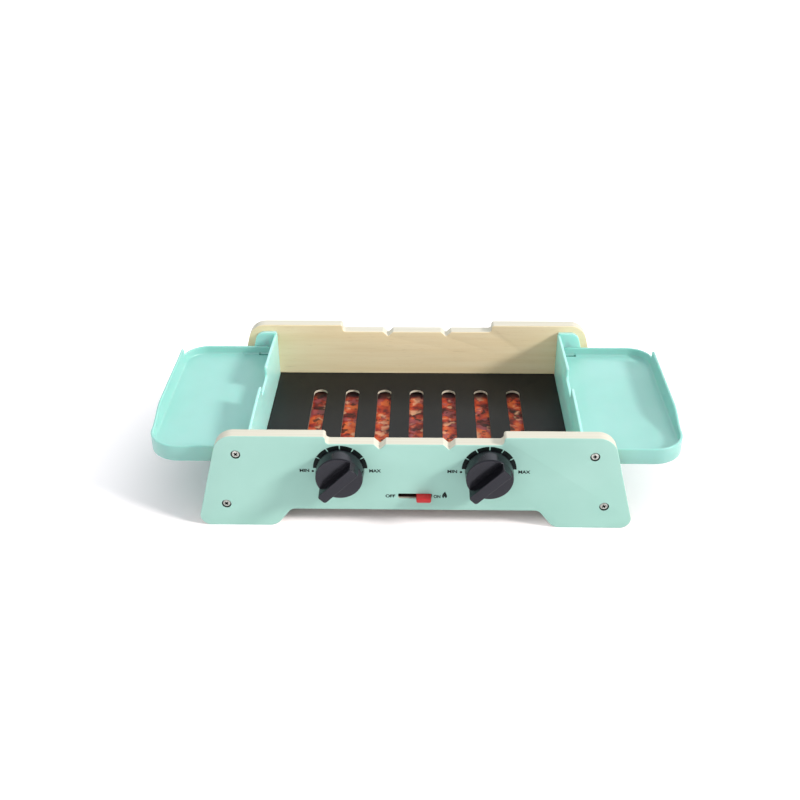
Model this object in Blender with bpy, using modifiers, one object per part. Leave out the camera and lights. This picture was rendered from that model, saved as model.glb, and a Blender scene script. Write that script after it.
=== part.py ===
# Toy barbecue grill: two wooden panels joined by moulded side brackets, a slotted grill plate over a sliding
# ember card, two turning knobs and two fold-up side trays. Metres, +Z up, front towards -Y, origin in the
# middle of the ground under the whole object.

import math

import bmesh
import bpy
from mathutils import Matrix, Vector

# Driving sizes
depth = 0.2255
panel_height = 0.0953
panel_thickness = 0.012
wall_inner_x = 0.1451
panel_margin = 0.0265
foot_flare = 0.0247
tray_length = 0.0892
plate_top = 0.039
knob_x = 0.0650
knob_z = 0.0626
knob_reach = 0.027

# Gaps and cuts
seat_gap = 0.0003
slide_gap = 0.0006
overrun = 0.002
fuse_overlap = 0.001

# Panel outline
panel_edge = 0.0007
top_corner_radius = 0.018
foot_corner_radius = 0.0095
recess_half_width = 0.0772
recess_depth = 0.0074
recess_lip_radius = 0.0025
recess_root_radius = 0.0035
rest_x = 0.0301
rest_width = 0.0104
rest_depth = 0.0052
rest_root_radius = 0.0012
rest_lip_radius = 0.0012
arch_height = 0.0185
arch_slope = 0.014
foot_length = 0.0718
arch_root_radius = 0.005
foot_inner_radius = 0.012

# Screws that hold the brackets, and their holes
upper_screw_inset = 0.0205
upper_screw_z = 0.0765
lower_screw_inset = 0.0217
lower_screw_z = 0.0237
screw_head_radius = 0.0035
screw_head_height = 0.0022
screw_head_crown = 0.0007
screw_shank_radius = 0.00195
screw_tip_radius = 0.0006
head_clearance = 0.0008
shank_clearance = 0.0004
head_bore_depth = 0.0032
pilot_floor = 0.0008
cross_span = 0.0036
cross_width = 0.0011
cross_depth = 0.0013
boss_radius = 0.0036
boss_length = 0.005

# Switch slot and slider
slot_left = -0.0146
slot_right = 0.0154
slot_bottom = 0.0310
slot_top = 0.0364
slot_corner_radius = 0.0012
button_width = 0.0133
button_reach = 0.008
button_edge = 0.0011
stem_inset = 0.0012
stem_drop = 0.0015
cover_thickness = 0.002
cover_lap = 0.0015
cover_height = 0.0078
tongue_width = 0.020
tongue_length = 0.012
tongue_thickness = 0.0021
switch_screw_spacing = 0.012
switch_screw_inset = 0.006
switch_head_radius = 0.0024
switch_head_height = 0.0014
switch_head_crown = 0.0004
switch_shank_radius = 0.0012
switch_shank_reach = 0.0016

# Grill plate
plate_thickness = 0.003
plate_groove_depth = 0.003
plate_edge = 0.0003
plate_corner_radius = 0.002
slot_count = 7
slot_pitch = 0.0328
slot_width = 0.0138
slot_end_inset = 0.0345

# Ember card
card_thickness = 0.0025
card_end_gap = 0.0015
card_corner_radius = 0.003

# Side brackets
wall_thickness = 0.0025
bracket_base = 0.010
flange_thickness = 0.0042
flange_inset = 0.0077
flange_top = 0.0888
flange_top_radius = 0.0095
flange_base_radius = 0.004
crown_end = 0.0866
crown_middle = 0.0912
notch_width = 0.0366
notch_floor = 0.0800
notch_root_radius = 0.003
notch_lip_radius = 0.0022
ledge_width = 0.004
ledge_thickness = 0.0016
shelf_width = 0.023
shelf_thickness = 0.0022
gusset_thickness = 0.002
gusset_height = 0.015
gusset_nose = 0.003
gusset_spacing = 0.075

# Side trays
tray_end_gap = 0.0037
hinge_inset = 0.0072
tray_side_gap = 0.0005
tray_bottom = 0.058
tray_rim = 0.0737
tray_wall = 0.0024
tray_floor = 0.0655
tray_floor_thickness = 0.0023
tray_rear_radius = 0.0243
tray_front_radius = 0.029
tray_end_round = 0.005
grip_top = 0.082
grip_rear_inset = 0.0230
grip_slope_start = 0.066
grip_slope_end = 0.030
grip_corner_radius = 0.0012
grip_slope_radius = 0.012
tray_rib_thickness = 0.0016
tray_bays = 3
pin_radius = 0.0025
pin_length = 0.0036
pin_tip = 0.0008
pin_clearance = 0.0001
slit_width = 0.0011
slit_inset = 0.0014
slit_length = 0.0132
stop_inset = 0.0140
stop_width = 0.0052
stop_height = 0.0042
stop_reach = 0.0056

# Knobs
knob_standoff = 0.0008
knob_back_radius = 0.0212
knob_front_radius = 0.0206
knob_disc_reach = 0.016
knob_edge = 0.0012
knob_hollow_radius = 0.0185
knob_hub_radius = 0.0065
knob_face_thickness = 0.0035
shaft_radius = 0.004
shaft_clearance = 0.0001
shaft_end_play = 0.0003
grip_long_end = 0.0215
grip_rim_radius = 0.0205
grip_half_width = 0.005
grip_end_radius = 0.0026
grip_edge = 0.0006
grip_sink = 0.002
grip_draft_share = 0.07
knob_angle = math.radians(45.0)
washer_radius = 0.007
washer_thickness = 0.001
knob_screw_head_radius = 0.0033
knob_screw_head_height = 0.002
knob_screw_head_crown = 0.0005
knob_screw_shank_radius = 0.0014
knob_screw_length = 0.009

# Roundness
arc_step = math.radians(15.0)
small_sides = 20
shaft_sides = 28
knob_sides = 48
crown_points = 7
edge_segments = 1
knob_edge_segments = 3
grip_arc_steps = 4
sharp_angle = math.radians(35.0)
bevel_angle = math.radians(60.0)

# Places worked out from the sizes above
front_y = (knob_reach - depth) / 2
front_inner_y = front_y + panel_thickness
rear_y = front_y + depth
rear_inner_y = rear_y - panel_thickness
middle_y = front_y + depth / 2
top_half_width = wall_inner_x + panel_margin
base_half_width = top_half_width + foot_flare
foot_inner_x = base_half_width - foot_length
arch_half_width = foot_inner_x - arch_slope
tray_inner_x = wall_inner_x + wall_thickness + tray_end_gap
tray_outer_x = tray_inner_x + tray_length
tray_hinge_x = tray_inner_x + hinge_inset
tray_hinge_z = tray_floor
plate_bottom = plate_top - plate_thickness
ledge_top = plate_bottom - seat_gap
ledge_bottom = ledge_top - ledge_thickness
card_top = ledge_bottom - seat_gap
card_bottom = card_top - card_thickness
shelf_top = card_bottom - seat_gap
button_right = slot_right - slide_gap
button_left = button_right - button_width
travel = button_left - (slot_left + slide_gap)
flange_face_front = front_inner_y + seat_gap + flange_thickness
flange_face_rear = rear_inner_y - seat_gap - flange_thickness
tray_front_y = flange_face_front + tray_side_gap
tray_rear_y = flange_face_rear - tray_side_gap


def clear_scene():
    for item in list(bpy.data.objects):
        bpy.data.objects.remove(item, do_unlink=True)


def new_collection(name):
    group = bpy.data.collections.new(name)
    bpy.context.scene.collection.children.link(group)
    return group


def new_material(name, color, roughness, metallic=0.0):
    material = bpy.data.materials.new(name)
    material.use_nodes = True
    shader = material.node_tree.nodes["Principled BSDF"]
    shader.inputs["Base Color"].default_value = (*color, 1.0)
    shader.inputs["Roughness"].default_value = roughness
    shader.inputs["Metallic"].default_value = metallic
    return material


clear_scene()
parts = new_collection("toy_barbecue_grill")
cutters = new_collection("cutters")

mint_paint = new_material("mint_paint", (0.41, 0.70, 0.62), 0.5)
mint_plastic = new_material("mint_plastic", (0.42, 0.76, 0.68), 0.35)
charcoal_paint = new_material("charcoal_paint", (0.05, 0.05, 0.055), 0.6)
ember_print = new_material("ember_print", (0.55, 0.12, 0.05), 0.55)
red_plastic = new_material("red_plastic", (0.68, 0.04, 0.05), 0.35)
black_plastic = new_material("black_plastic", (0.03, 0.03, 0.035), 0.35)
zinc_steel = new_material("zinc_steel", (0.55, 0.53, 0.50), 0.35, 1.0)


# Building blocks

def plane_xy(z):
    """Outline seen from above, at height z."""
    return Matrix.Translation((0, 0, z))


def plane_xz(y):
    """Outline seen from the front, at depth y."""
    return Matrix.Translation((0, y, 0)) @ Matrix.Rotation(math.pi / 2, 4, "X")


def plane_yz(x):
    """Outline seen from the side: its first axis is Y and its second is Z."""
    columns = Matrix(((0, 0, 1), (1, 0, 0), (0, 1, 0))).to_4x4()
    return Matrix.Translation((x, 0, 0)) @ columns


def side_x(z):
    """Half width of a panel at height z, along its straight slanted side."""
    share = z / panel_height
    return base_half_width + (top_half_width - base_half_width) * share


def rounded(corners):
    """Outline through corners (u, v, radius), each rounded by an arc that touches both of its sides."""
    outline = []
    count = len(corners)
    for index, (u, v, radius) in enumerate(corners):
        corner = Vector((u, v))
        if radius == 0:
            outline.append(corner)
            continue
        before = (Vector(corners[index - 1][:2]) - corner).normalized()
        after = (Vector(corners[(index + 1) % count][:2]) - corner).normalized()
        half = before.angle(after) / 2
        reach = radius / math.tan(half)
        start = corner + before * reach
        end = corner + after * reach
        center = corner + (before + after).normalized() * (radius / math.sin(half))
        turn = math.pi - 2 * half
        steps = max(2, math.ceil(turn / arc_step))
        first = start - center
        sign = 1 if first.cross(end - center) > 0 else -1
        for step in range(steps + 1):
            angle = sign * turn * step / steps
            outline.append(center + Matrix.Rotation(angle, 2) @ first)
    return outline


def mirrored_corners(half):
    """Whole outline from the corners of its right half, listed from the bottom to the top."""
    return half + [(-u, v, radius) for u, v, radius in reversed(half)]


def rounded_box(left, right, low, high, radius):
    return rounded([(left, low, radius), (right, low, radius), (right, high, radius), (left, high, radius)])


def settle(name, mesh, place, group, material=None):
    """Object from a mesh at its place, in its collection and with its material."""
    item = bpy.data.objects.new(name, mesh)
    group.objects.link(item)
    item.matrix_world = place
    if material is not None and not mesh.materials:
        mesh.materials.append(material)
    if group == cutters:
        item.display_type = "WIRE"
        item.hide_render = True
    return item


def smooth(mesh):
    """Shades round faces smooth and leaves flat ones and square edges sharp."""
    shape = bmesh.new()
    shape.from_mesh(mesh)
    for edge in shape.edges:
        edge.smooth = edge.is_manifold and edge.calc_face_angle() < sharp_angle
    for face in shape.faces:
        face.smooth = any(edge.smooth for edge in face.edges)
    shape.to_mesh(mesh)
    shape.free()


def evaluated_mesh(item):
    bpy.context.view_layer.update()
    graph = bpy.context.evaluated_depsgraph_get()
    return bpy.data.meshes.new_from_object(item.evaluated_get(graph))


def outline_solid(name, loops, thickness, place, group, material=None):
    """Flat outline, with any holes, extruded to both sides of its plane."""
    curve = bpy.data.curves.new(name, "CURVE")
    curve.dimensions = "2D"
    curve.fill_mode = "BOTH"
    curve.extrude = thickness / 2
    for loop in loops:
        spline = curve.splines.new("POLY")
        spline.points.add(len(loop) - 1)
        for point, (u, v) in zip(spline.points, loop):
            point.co = (u, v, 0, 1)
        spline.use_cyclic_u = True
    flat = bpy.data.objects.new(name + "_outline", curve)
    bpy.context.scene.collection.objects.link(flat)
    mesh = evaluated_mesh(flat)
    bpy.data.objects.remove(flat)
    shape = bmesh.new()
    shape.from_mesh(mesh)
    bmesh.ops.remove_doubles(shape, verts=shape.verts, dist=seat_gap / 30)
    bmesh.ops.recalc_face_normals(shape, faces=shape.faces)
    shape.to_mesh(mesh)
    shape.free()
    mesh.name = name
    smooth(mesh)
    return settle(name, mesh, place, group, material)


def box(name, low, high, group, material=None):
    shape = bmesh.new()
    size = [b - a for a, b in zip(low, high)]
    center = [(a + b) / 2 for a, b in zip(low, high)]
    bmesh.ops.create_cube(shape, size=1, matrix=Matrix.Diagonal((*size, 1)))
    mesh = bpy.data.meshes.new(name)
    shape.to_mesh(mesh)
    shape.free()
    return settle(name, mesh, Matrix.Translation(center), group, material)


def rod(name, start, end, start_radius, end_radius, sides, group, material=None):
    """Cylinder or cone between two points."""
    start, end = Vector(start), Vector(end)
    along = end - start
    turn = along.to_track_quat("Z", "Y").to_matrix().to_4x4()
    place = Matrix.Translation((start + end) / 2) @ turn
    shape = bmesh.new()
    bmesh.ops.create_cone(shape, cap_ends=True, segments=sides, radius1=start_radius, radius2=end_radius,
                          depth=along.length)
    mesh = bpy.data.meshes.new(name)
    shape.to_mesh(mesh)
    shape.free()
    smooth(mesh)
    return settle(name, mesh, place, group, material)


def turned(name, profile, sides, group, material=None, is_ring=False):
    """Body turned about Z from a profile of (radius, height) that runs from the top down on its outer side."""
    mesh = bpy.data.meshes.new(name)
    points = [(radius, 0, height) for radius, height in profile]
    edges = [(i, i + 1) for i in range(len(points) - 1)]
    if is_ring:
        edges.append((len(points) - 1, 0))
    mesh.from_pydata(points, edges, [])
    item = settle(name, mesh, Matrix(), group, material)
    screw = item.modifiers.new("turn", "SCREW")
    screw.axis = "Z"
    screw.steps = sides
    screw.render_steps = sides
    screw.use_merge_vertices = True
    screw.merge_threshold = seat_gap / 30
    return item


def combine(target, tool, operation):
    boolean = target.modifiers.new(operation.lower() + "_" + tool.name, "BOOLEAN")
    boolean.operation = operation
    boolean.solver = "EXACT"
    boolean.object = tool


def cut(target, *tools):
    for tool in tools:
        combine(target, tool, "DIFFERENCE")


def join(target, *tools):
    for tool in tools:
        combine(target, tool, "UNION")


def ease(target, width):
    """Rounds the square edges of a flat piece."""
    bevel = target.modifiers.new("edges", "BEVEL")
    bevel.width = width
    bevel.segments = edge_segments
    bevel.limit_method = "ANGLE"
    bevel.angle_limit = bevel_angle


def mirrored_copy(name, source):
    """The other hand of a finished piece, mirrored across the middle plane."""
    flip = Matrix.Diagonal((-1, 1, 1, 1))
    mesh = evaluated_mesh(source)
    mesh.transform(flip)
    mesh.flip_normals()
    mesh.name = name
    return settle(name, mesh, flip @ source.matrix_world @ flip, parts)


def axis_empty(name, place):
    empty = bpy.data.objects.new(name, None)
    parts.objects.link(empty)
    empty.location = place
    bpy.context.view_layer.update()
    return empty


def hang_on(empty, *items):
    for item in items:
        item.parent = empty
        item.matrix_parent_inverse = empty.matrix_world.inverted()


# Panels

def panel_outline():
    rest_half = rest_width / 2
    floor = panel_height - recess_depth
    half = [
        (arch_half_width, arch_height, arch_root_radius),
        (foot_inner_x, 0, foot_inner_radius),
        (base_half_width, 0, foot_corner_radius),
        (top_half_width, panel_height, top_corner_radius),
        (recess_half_width, panel_height, recess_lip_radius),
        (recess_half_width, floor, recess_root_radius),
        (rest_x + rest_half, floor, rest_lip_radius),
        (rest_x, floor - rest_depth, rest_root_radius),
        (rest_x - rest_half, floor, rest_lip_radius),
    ]
    return rounded(mirrored_corners(half))


def screw_rows():
    """The upper and the lower screw of the right side, set in from the panel's slanted side."""
    return [("upper", side_x(upper_screw_z) - upper_screw_inset, upper_screw_z),
            ("lower", side_x(lower_screw_z) - lower_screw_inset, lower_screw_z)]


def screw_places():
    return [(side * x, z) for side in (-1, 1) for name, x, z in screw_rows()]


def make_panel(name, outer_y, inward):
    """Panel with its painted face at outer_y; inward is +1 or -1 along Y."""
    inner_y = outer_y + inward * panel_thickness
    middle = (outer_y + inner_y) / 2
    panel = outline_solid(name, [panel_outline()], panel_thickness, plane_xz(middle), parts, mint_paint)
    ease(panel, panel_edge)
    for index, (x, z) in enumerate(screw_places()):
        head = rod(f"{name}_head_bore_{index}", (x, outer_y - inward * overrun, z),
                   (x, outer_y + inward * head_bore_depth, z), screw_head_radius + head_clearance,
                   screw_head_radius + head_clearance, small_sides, cutters)
        shank = rod(f"{name}_shank_bore_{index}", (x, outer_y - inward * overrun, z),
                    (x, inner_y + inward * overrun, z), screw_shank_radius + shank_clearance,
                    screw_shank_radius + shank_clearance, small_sides, cutters)
        boss = rod(f"{name}_boss_bore_{index}", (x, inner_y + inward * overrun, z),
                   (x, inner_y - inward * (boss_length + seat_gap), z), boss_radius + seat_gap,
                   boss_radius + seat_gap, small_sides, cutters)
        cut(panel, head, shank, boss)
    groove_half = wall_inner_x
    ends = sorted((inner_y - inward * plate_groove_depth, inner_y + inward * overrun))
    groove = box(name + "_plate_groove", (-groove_half, ends[0], plate_bottom - seat_gap),
                 (groove_half, ends[1], plate_top + seat_gap), cutters)
    cut(panel, groove)
    return panel


def make_front_panel():
    panel = make_panel("front_panel", front_y, 1)
    for name, side in (("left", -1), ("right", 1)):
        bore = rod(name + "_shaft_bore", (side * knob_x, front_y - overrun, knob_z),
                   (side * knob_x, front_inner_y + overrun, knob_z), shaft_radius + shaft_clearance,
                   shaft_radius + shaft_clearance, shaft_sides, cutters)
        cut(panel, bore)
    opening = rounded_box(slot_left, slot_right, slot_bottom, slot_top, slot_corner_radius)
    slot = outline_solid("switch_slot", [opening], panel_thickness + 2 * overrun,
                         plane_xz((front_y + front_inner_y) / 2), cutters)
    cut(panel, slot)
    return panel


# Side brackets

def wall_outline():
    """Side wall from the side: a low crown along the top with a finger notch in its middle."""
    start = front_inner_y + seat_gap
    end = rear_inner_y - seat_gap
    half_length = (end - start) / 2
    half_notch = notch_width / 2

    def crown(offset):
        share = 1 - (offset / half_length) ** 2
        return crown_end + (crown_middle - crown_end) * share

    corners = [(start, bracket_base, 0), (end, bracket_base, 0)]
    offsets = [half_length - (half_length - half_notch) * step / crown_points for step in range(crown_points)]
    corners += [(middle_y + offset, crown(offset), 0) for offset in offsets]
    corners += [
        (middle_y + half_notch, crown(half_notch), notch_lip_radius),
        (middle_y + half_notch, notch_floor, notch_root_radius),
        (middle_y - half_notch, notch_floor, notch_root_radius),
        (middle_y - half_notch, crown(half_notch), notch_lip_radius),
    ]
    corners += [(middle_y - offset, crown(offset), 0) for offset in reversed(offsets)]
    return rounded(corners)


def flange_outline():
    return rounded([
        (wall_inner_x, bracket_base, 0),
        (side_x(bracket_base) - flange_inset, bracket_base, flange_base_radius),
        (side_x(flange_top) - flange_inset, flange_top, flange_top_radius),
        (wall_inner_x, flange_top, 0),
    ])


def gusset_outline():
    shelf_bottom = shelf_top - shelf_thickness
    nose_x = wall_inner_x - shelf_width + gusset_nose
    return [
        Vector((wall_inner_x + fuse_overlap, shelf_bottom + fuse_overlap)),
        Vector((nose_x, shelf_bottom + fuse_overlap)),
        Vector((nose_x, shelf_bottom - gusset_nose)),
        Vector((wall_inner_x, shelf_bottom - gusset_height)),
        Vector((wall_inner_x + fuse_overlap, shelf_bottom - gusset_height)),
    ]


def make_right_bracket():
    wall_x = wall_inner_x + wall_thickness / 2
    bracket = outline_solid("right_bracket", [wall_outline()], wall_thickness, plane_yz(wall_x), parts,
                            mint_plastic)
    start = front_inner_y + seat_gap
    end = rear_inner_y - seat_gap
    for name, face, inward in (("front", start, 1), ("rear", end, -1)):
        flange_y = face + inward * flange_thickness / 2
        join(bracket, outline_solid(name + "_flange", [flange_outline()], flange_thickness,
                                    plane_xz(flange_y), cutters))
    shelf = box("card_shelf", (wall_inner_x - shelf_width, start, shelf_top - shelf_thickness),
                (wall_inner_x + fuse_overlap, end, shelf_top), cutters)
    ledge = box("plate_ledge", (wall_inner_x - ledge_width, start, ledge_bottom),
                (wall_inner_x + fuse_overlap, end, ledge_top), cutters)
    join(bracket, shelf, ledge)
    for index in (-1, 0, 1):
        place = plane_xz(middle_y + index * gusset_spacing)
        join(bracket, outline_solid(f"gusset_{index + 2}", [gusset_outline()], gusset_thickness, place,
                                    cutters))
    for name, face, inward in (("front", start, 1), ("rear", end, -1)):
        inner_face = face + inward * flange_thickness
        stop_ends = sorted((inner_face - inward * fuse_overlap, inner_face + inward * stop_reach))
        stop_top = tray_bottom - seat_gap
        stop_x = tray_inner_x + stop_inset
        join(bracket, box(name + "_tray_stop", (stop_x, stop_ends[0], stop_top - stop_height),
                          (stop_x + stop_width, stop_ends[1], stop_top), cutters))
        for level, x, z in screw_rows():
            join(bracket, rod(f"{name}_{level}_boss", (x, face + inward * fuse_overlap, z),
                              (x, face - inward * boss_length, z), boss_radius, boss_radius, small_sides,
                              cutters))
        for level, x, z in screw_rows():
            pilot_end = inner_face - inward * pilot_floor
            cut(bracket, rod(f"{name}_{level}_pilot", (x, face - inward * (boss_length + overrun), z),
                             (x, pilot_end, z), screw_shank_radius + seat_gap,
                             screw_shank_radius + seat_gap, small_sides, cutters))
        cut(bracket, rod(name + "_hinge_bore", (tray_hinge_x, face - inward * overrun, tray_hinge_z),
                         (tray_hinge_x, inner_face + inward * overrun, tray_hinge_z),
                         pin_radius + pin_clearance, pin_radius + pin_clearance, small_sides, cutters))
    return bracket


# Grill plate and ember card

def make_plate():
    half_width = wall_inner_x - seat_gap
    start = front_inner_y - plate_groove_depth + seat_gap
    end = rear_inner_y + plate_groove_depth - seat_gap
    loops = [rounded_box(-half_width, half_width, start, end, plate_corner_radius)]
    slot_start = front_inner_y + slot_end_inset
    slot_end = rear_inner_y - slot_end_inset
    slot_round = slot_width / 2 - seat_gap / 30
    for index in range(slot_count):
        center = (index - (slot_count - 1) / 2) * slot_pitch
        loops.append(rounded_box(center - slot_width / 2, center + slot_width / 2, slot_start, slot_end,
                                 slot_round))
    plate = outline_solid("grill_plate", loops, plate_thickness, plane_xy((plate_top + plate_bottom) / 2),
                          parts, charcoal_paint)
    ease(plate, plate_edge)
    return plate


def card_front_y():
    return front_inner_y + seat_gap + cover_thickness + seat_gap


def make_card():
    right = wall_inner_x - slide_gap
    left = -(wall_inner_x - slide_gap - travel)
    outline = rounded_box(left, right, card_front_y(), rear_inner_y - card_end_gap, card_corner_radius)
    card = outline_solid("ember_card", [outline], card_thickness, plane_xy((card_top + card_bottom) / 2),
                         parts, ember_print)
    for index, (x, y) in enumerate(switch_screw_places()):
        cut(card, rod(f"card_pilot_{index}", (x, y, card_bottom - overrun), (x, y, card_top + overrun),
                      switch_shank_radius + seat_gap, switch_shank_radius + seat_gap, small_sides, cutters))
    return card


# Switch slider

def switch_screw_places():
    middle = (button_left + button_right) / 2
    y = card_front_y() + switch_screw_inset
    return [(middle + side * switch_screw_spacing / 2, y) for side in (-1, 1)]


def make_slider():
    gap = slide_gap / 2
    low, high = slot_bottom + gap, slot_top - gap
    slider = box("switch_slider", (button_left, front_y - button_reach, low),
                 (button_right, front_inner_y - plate_groove_depth - seat_gap, high), parts, red_plastic)
    ease(slider, button_edge)
    cover_back = card_front_y() - seat_gap
    stem_back = cover_back - cover_thickness / 2
    stem = box("slider_stem", (button_left + stem_inset, front_y + gap, low),
               (button_right - stem_inset, stem_back, high - stem_drop), cutters)
    cover_left = slot_left - cover_lap
    cover_right = slot_right + cover_lap + travel
    cover_top = plate_bottom - seat_gap
    cover = box("slider_cover", (cover_left, front_inner_y + seat_gap, cover_top - cover_height),
                (cover_right, cover_back, cover_top), cutters)
    middle = (button_left + button_right) / 2
    tongue_top = card_bottom - seat_gap
    tongue = box("slider_tongue", (middle - tongue_width / 2, stem_back, tongue_top - tongue_thickness),
                 (middle + tongue_width / 2, cover_back + tongue_length, tongue_top), cutters)
    join(slider, stem, cover, tongue)
    for index, (x, y) in enumerate(switch_screw_places()):
        cut(slider, rod(f"tongue_bore_{index}", (x, y, tongue_top - tongue_thickness - overrun),
                        (x, y, tongue_top + seat_gap / 2), switch_shank_radius + seat_gap,
                        switch_shank_radius + seat_gap, small_sides, cutters))
    return slider


# Knobs

def grip_outline():
    """Plan of the grip along X: one end stands out past the disc, the other is an arc flush with its rim."""
    half_turn = math.asin(grip_half_width / grip_rim_radius)
    corners = [(-grip_long_end, grip_half_width, grip_end_radius),
               (-grip_long_end, -grip_half_width, grip_end_radius)]
    for step in range(grip_arc_steps + 1):
        angle = half_turn * (2 * step / grip_arc_steps - 1)
        corners.append((grip_rim_radius * math.cos(angle), grip_rim_radius * math.sin(angle), 0))
    return rounded(corners)


def make_knob_mesh():
    """Knob about its own Z axis, which points away from the panel; height 0 is the panel's face."""
    hollow_top = knob_disc_reach - knob_face_thickness
    shaft_end = -(panel_thickness + shaft_end_play)
    pilot = knob_screw_shank_radius + seat_gap
    bevel_radius = knob_front_radius - knob_edge
    profile = [(0, knob_disc_reach), (bevel_radius, knob_disc_reach)]
    for step in range(1, knob_edge_segments + 1):
        angle = math.pi / 2 * step / knob_edge_segments
        profile.append((bevel_radius + knob_edge * math.sin(angle),
                        knob_disc_reach - knob_edge + knob_edge * math.cos(angle)))
    profile += [
        (knob_back_radius, knob_standoff),
        (knob_hollow_radius, knob_standoff),
        (knob_hollow_radius, hollow_top),
        (knob_hub_radius, hollow_top),
        (knob_hub_radius, knob_standoff),
        (shaft_radius, knob_standoff),
        (shaft_radius, shaft_end),
        (pilot, shaft_end),
        (pilot, shaft_end + knob_screw_length),
        (0, shaft_end + knob_screw_length),
    ]
    knob = turned("knob_disc", profile, knob_sides, cutters, black_plastic)
    grip_base = knob_disc_reach - grip_sink
    grip = outline_solid("knob_grip", [grip_outline()], knob_reach - grip_base,
                         plane_xy((knob_reach + grip_base) / 2), cutters)
    for vertex in grip.data.vertices:
        if vertex.co.z > 0:
            vertex.co.y *= 1 - grip_draft_share
    ease(grip, grip_edge)
    join(knob, grip)
    mesh = evaluated_mesh(knob)
    mesh.name = "knob"
    smooth(mesh)
    return mesh


def screw_mesh(name, head_radius, head_height, crown, shank_radius, length, has_cross):
    """Screw about Z: the head's underside is at 0, the head is above and the shank below."""
    profile = [
        (0, head_height),
        (head_radius / 2, head_height - crown / 4),
        (head_radius - crown, head_height - crown),
        (head_radius, head_height / 2),
        (head_radius, 0),
        (shank_radius, 0),
        (shank_radius, -(length - shank_radius)),
        (screw_tip_radius, -length),
        (0, -length),
    ]
    item = turned(name, profile, small_sides, cutters, zinc_steel)
    if has_cross:
        for turn in (0, 1):
            spans = (cross_span / 2, cross_width / 2)
            across, along = spans[turn], spans[1 - turn]
            cut(item, box(f"{name}_cross_{turn}", (-across, -along, head_height - cross_depth),
                          (across, along, head_height + overrun), cutters))
    mesh = evaluated_mesh(item)
    mesh.name = name
    smooth(mesh)
    return mesh


def make_knobs():
    mesh = make_knob_mesh()
    washer = turned("washer", [
        (washer_radius, washer_thickness),
        (washer_radius, 0),
        (knob_screw_shank_radius + seat_gap, 0),
        (knob_screw_shank_radius + seat_gap, washer_thickness),
    ], shaft_sides, cutters, zinc_steel, is_ring=True)
    washer_mesh = evaluated_mesh(washer)
    washer_mesh.name = "knob_washer"
    smooth(washer_mesh)
    washer_back = panel_thickness + shaft_end_play + seat_gap
    shank = knob_screw_length - shaft_end_play + washer_thickness
    fastener = screw_mesh("knob_screw", knob_screw_head_radius, knob_screw_head_height,
                          knob_screw_head_crown, knob_screw_shank_radius, shank, False)
    for name, side in (("left", -1), ("right", 1)):
        axis = Matrix.Translation((side * knob_x, front_y, knob_z))
        outward = axis @ Matrix.Rotation(math.pi / 2, 4, "X")
        inward = axis @ Matrix.Rotation(-math.pi / 2, 4, "X")
        turn = Matrix.Rotation(knob_angle, 4, "Z")
        empty = axis_empty(name + "_knob_axis", axis.translation)
        knob = settle(name + "_knob", mesh, outward @ turn, parts)
        ring_place = inward @ Matrix.Translation((0, 0, washer_back))
        ring = settle(name + "_knob_washer", washer_mesh, ring_place, parts)
        screw_place = inward @ Matrix.Translation((0, 0, washer_back + washer_thickness + seat_gap))
        screw = settle(name + "_knob_screw", fastener, screw_place, parts)
        hang_on(empty, knob, ring, screw)


# Side trays

def tray_plan(inset, inner_x):
    """Tray outline from above, drawn in by inset; its square end is at inner_x."""
    front = tray_front_y + inset
    rear = tray_rear_y - inset
    outer = tray_outer_x - inset
    return rounded([
        (inner_x, front, 0),
        (outer, front, tray_front_radius - inset),
        (outer, rear, tray_rear_radius - inset),
        (inner_x, rear, 0),
    ])


def tray_silhouette():
    """Tray from the side: the taller outer wall has a step at the rear and runs down to the rim at the front."""
    front, rear = tray_front_y - overrun, tray_rear_y + overrun
    step_y = tray_rear_y - grip_rear_inset
    low = tray_bottom - overrun
    return rounded([
        (front, low, 0),
        (rear, low, 0),
        (rear, tray_rim, 0),
        (step_y, tray_rim, 0),
        (step_y, grip_top, grip_corner_radius),
        (tray_front_y + grip_slope_start, grip_top, grip_slope_radius),
        (tray_front_y + grip_slope_end, tray_rim, grip_slope_radius),
        (front, tray_rim, 0),
    ])


def end_rounding(z, upward):
    """What is cut away beside the rounded inner end, at its edge at height z."""
    center_x = tray_inner_x + tray_end_round
    center_z = z - upward * tray_end_round
    radius = tray_end_round + seat_gap
    steps = math.ceil(math.pi / 2 / arc_step)
    outline = []
    for step in range(steps + 1):
        angle = math.pi / 2 * (1 + step / steps)
        outline.append(Vector((center_x + radius * math.cos(angle),
                               center_z + upward * radius * math.sin(angle))))
    outline.append(Vector((tray_inner_x - overrun, center_z)))
    outline.append(Vector((tray_inner_x - overrun, z + upward * overrun)))
    outline.append(Vector((center_x, z + upward * overrun)))
    return outline


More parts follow.
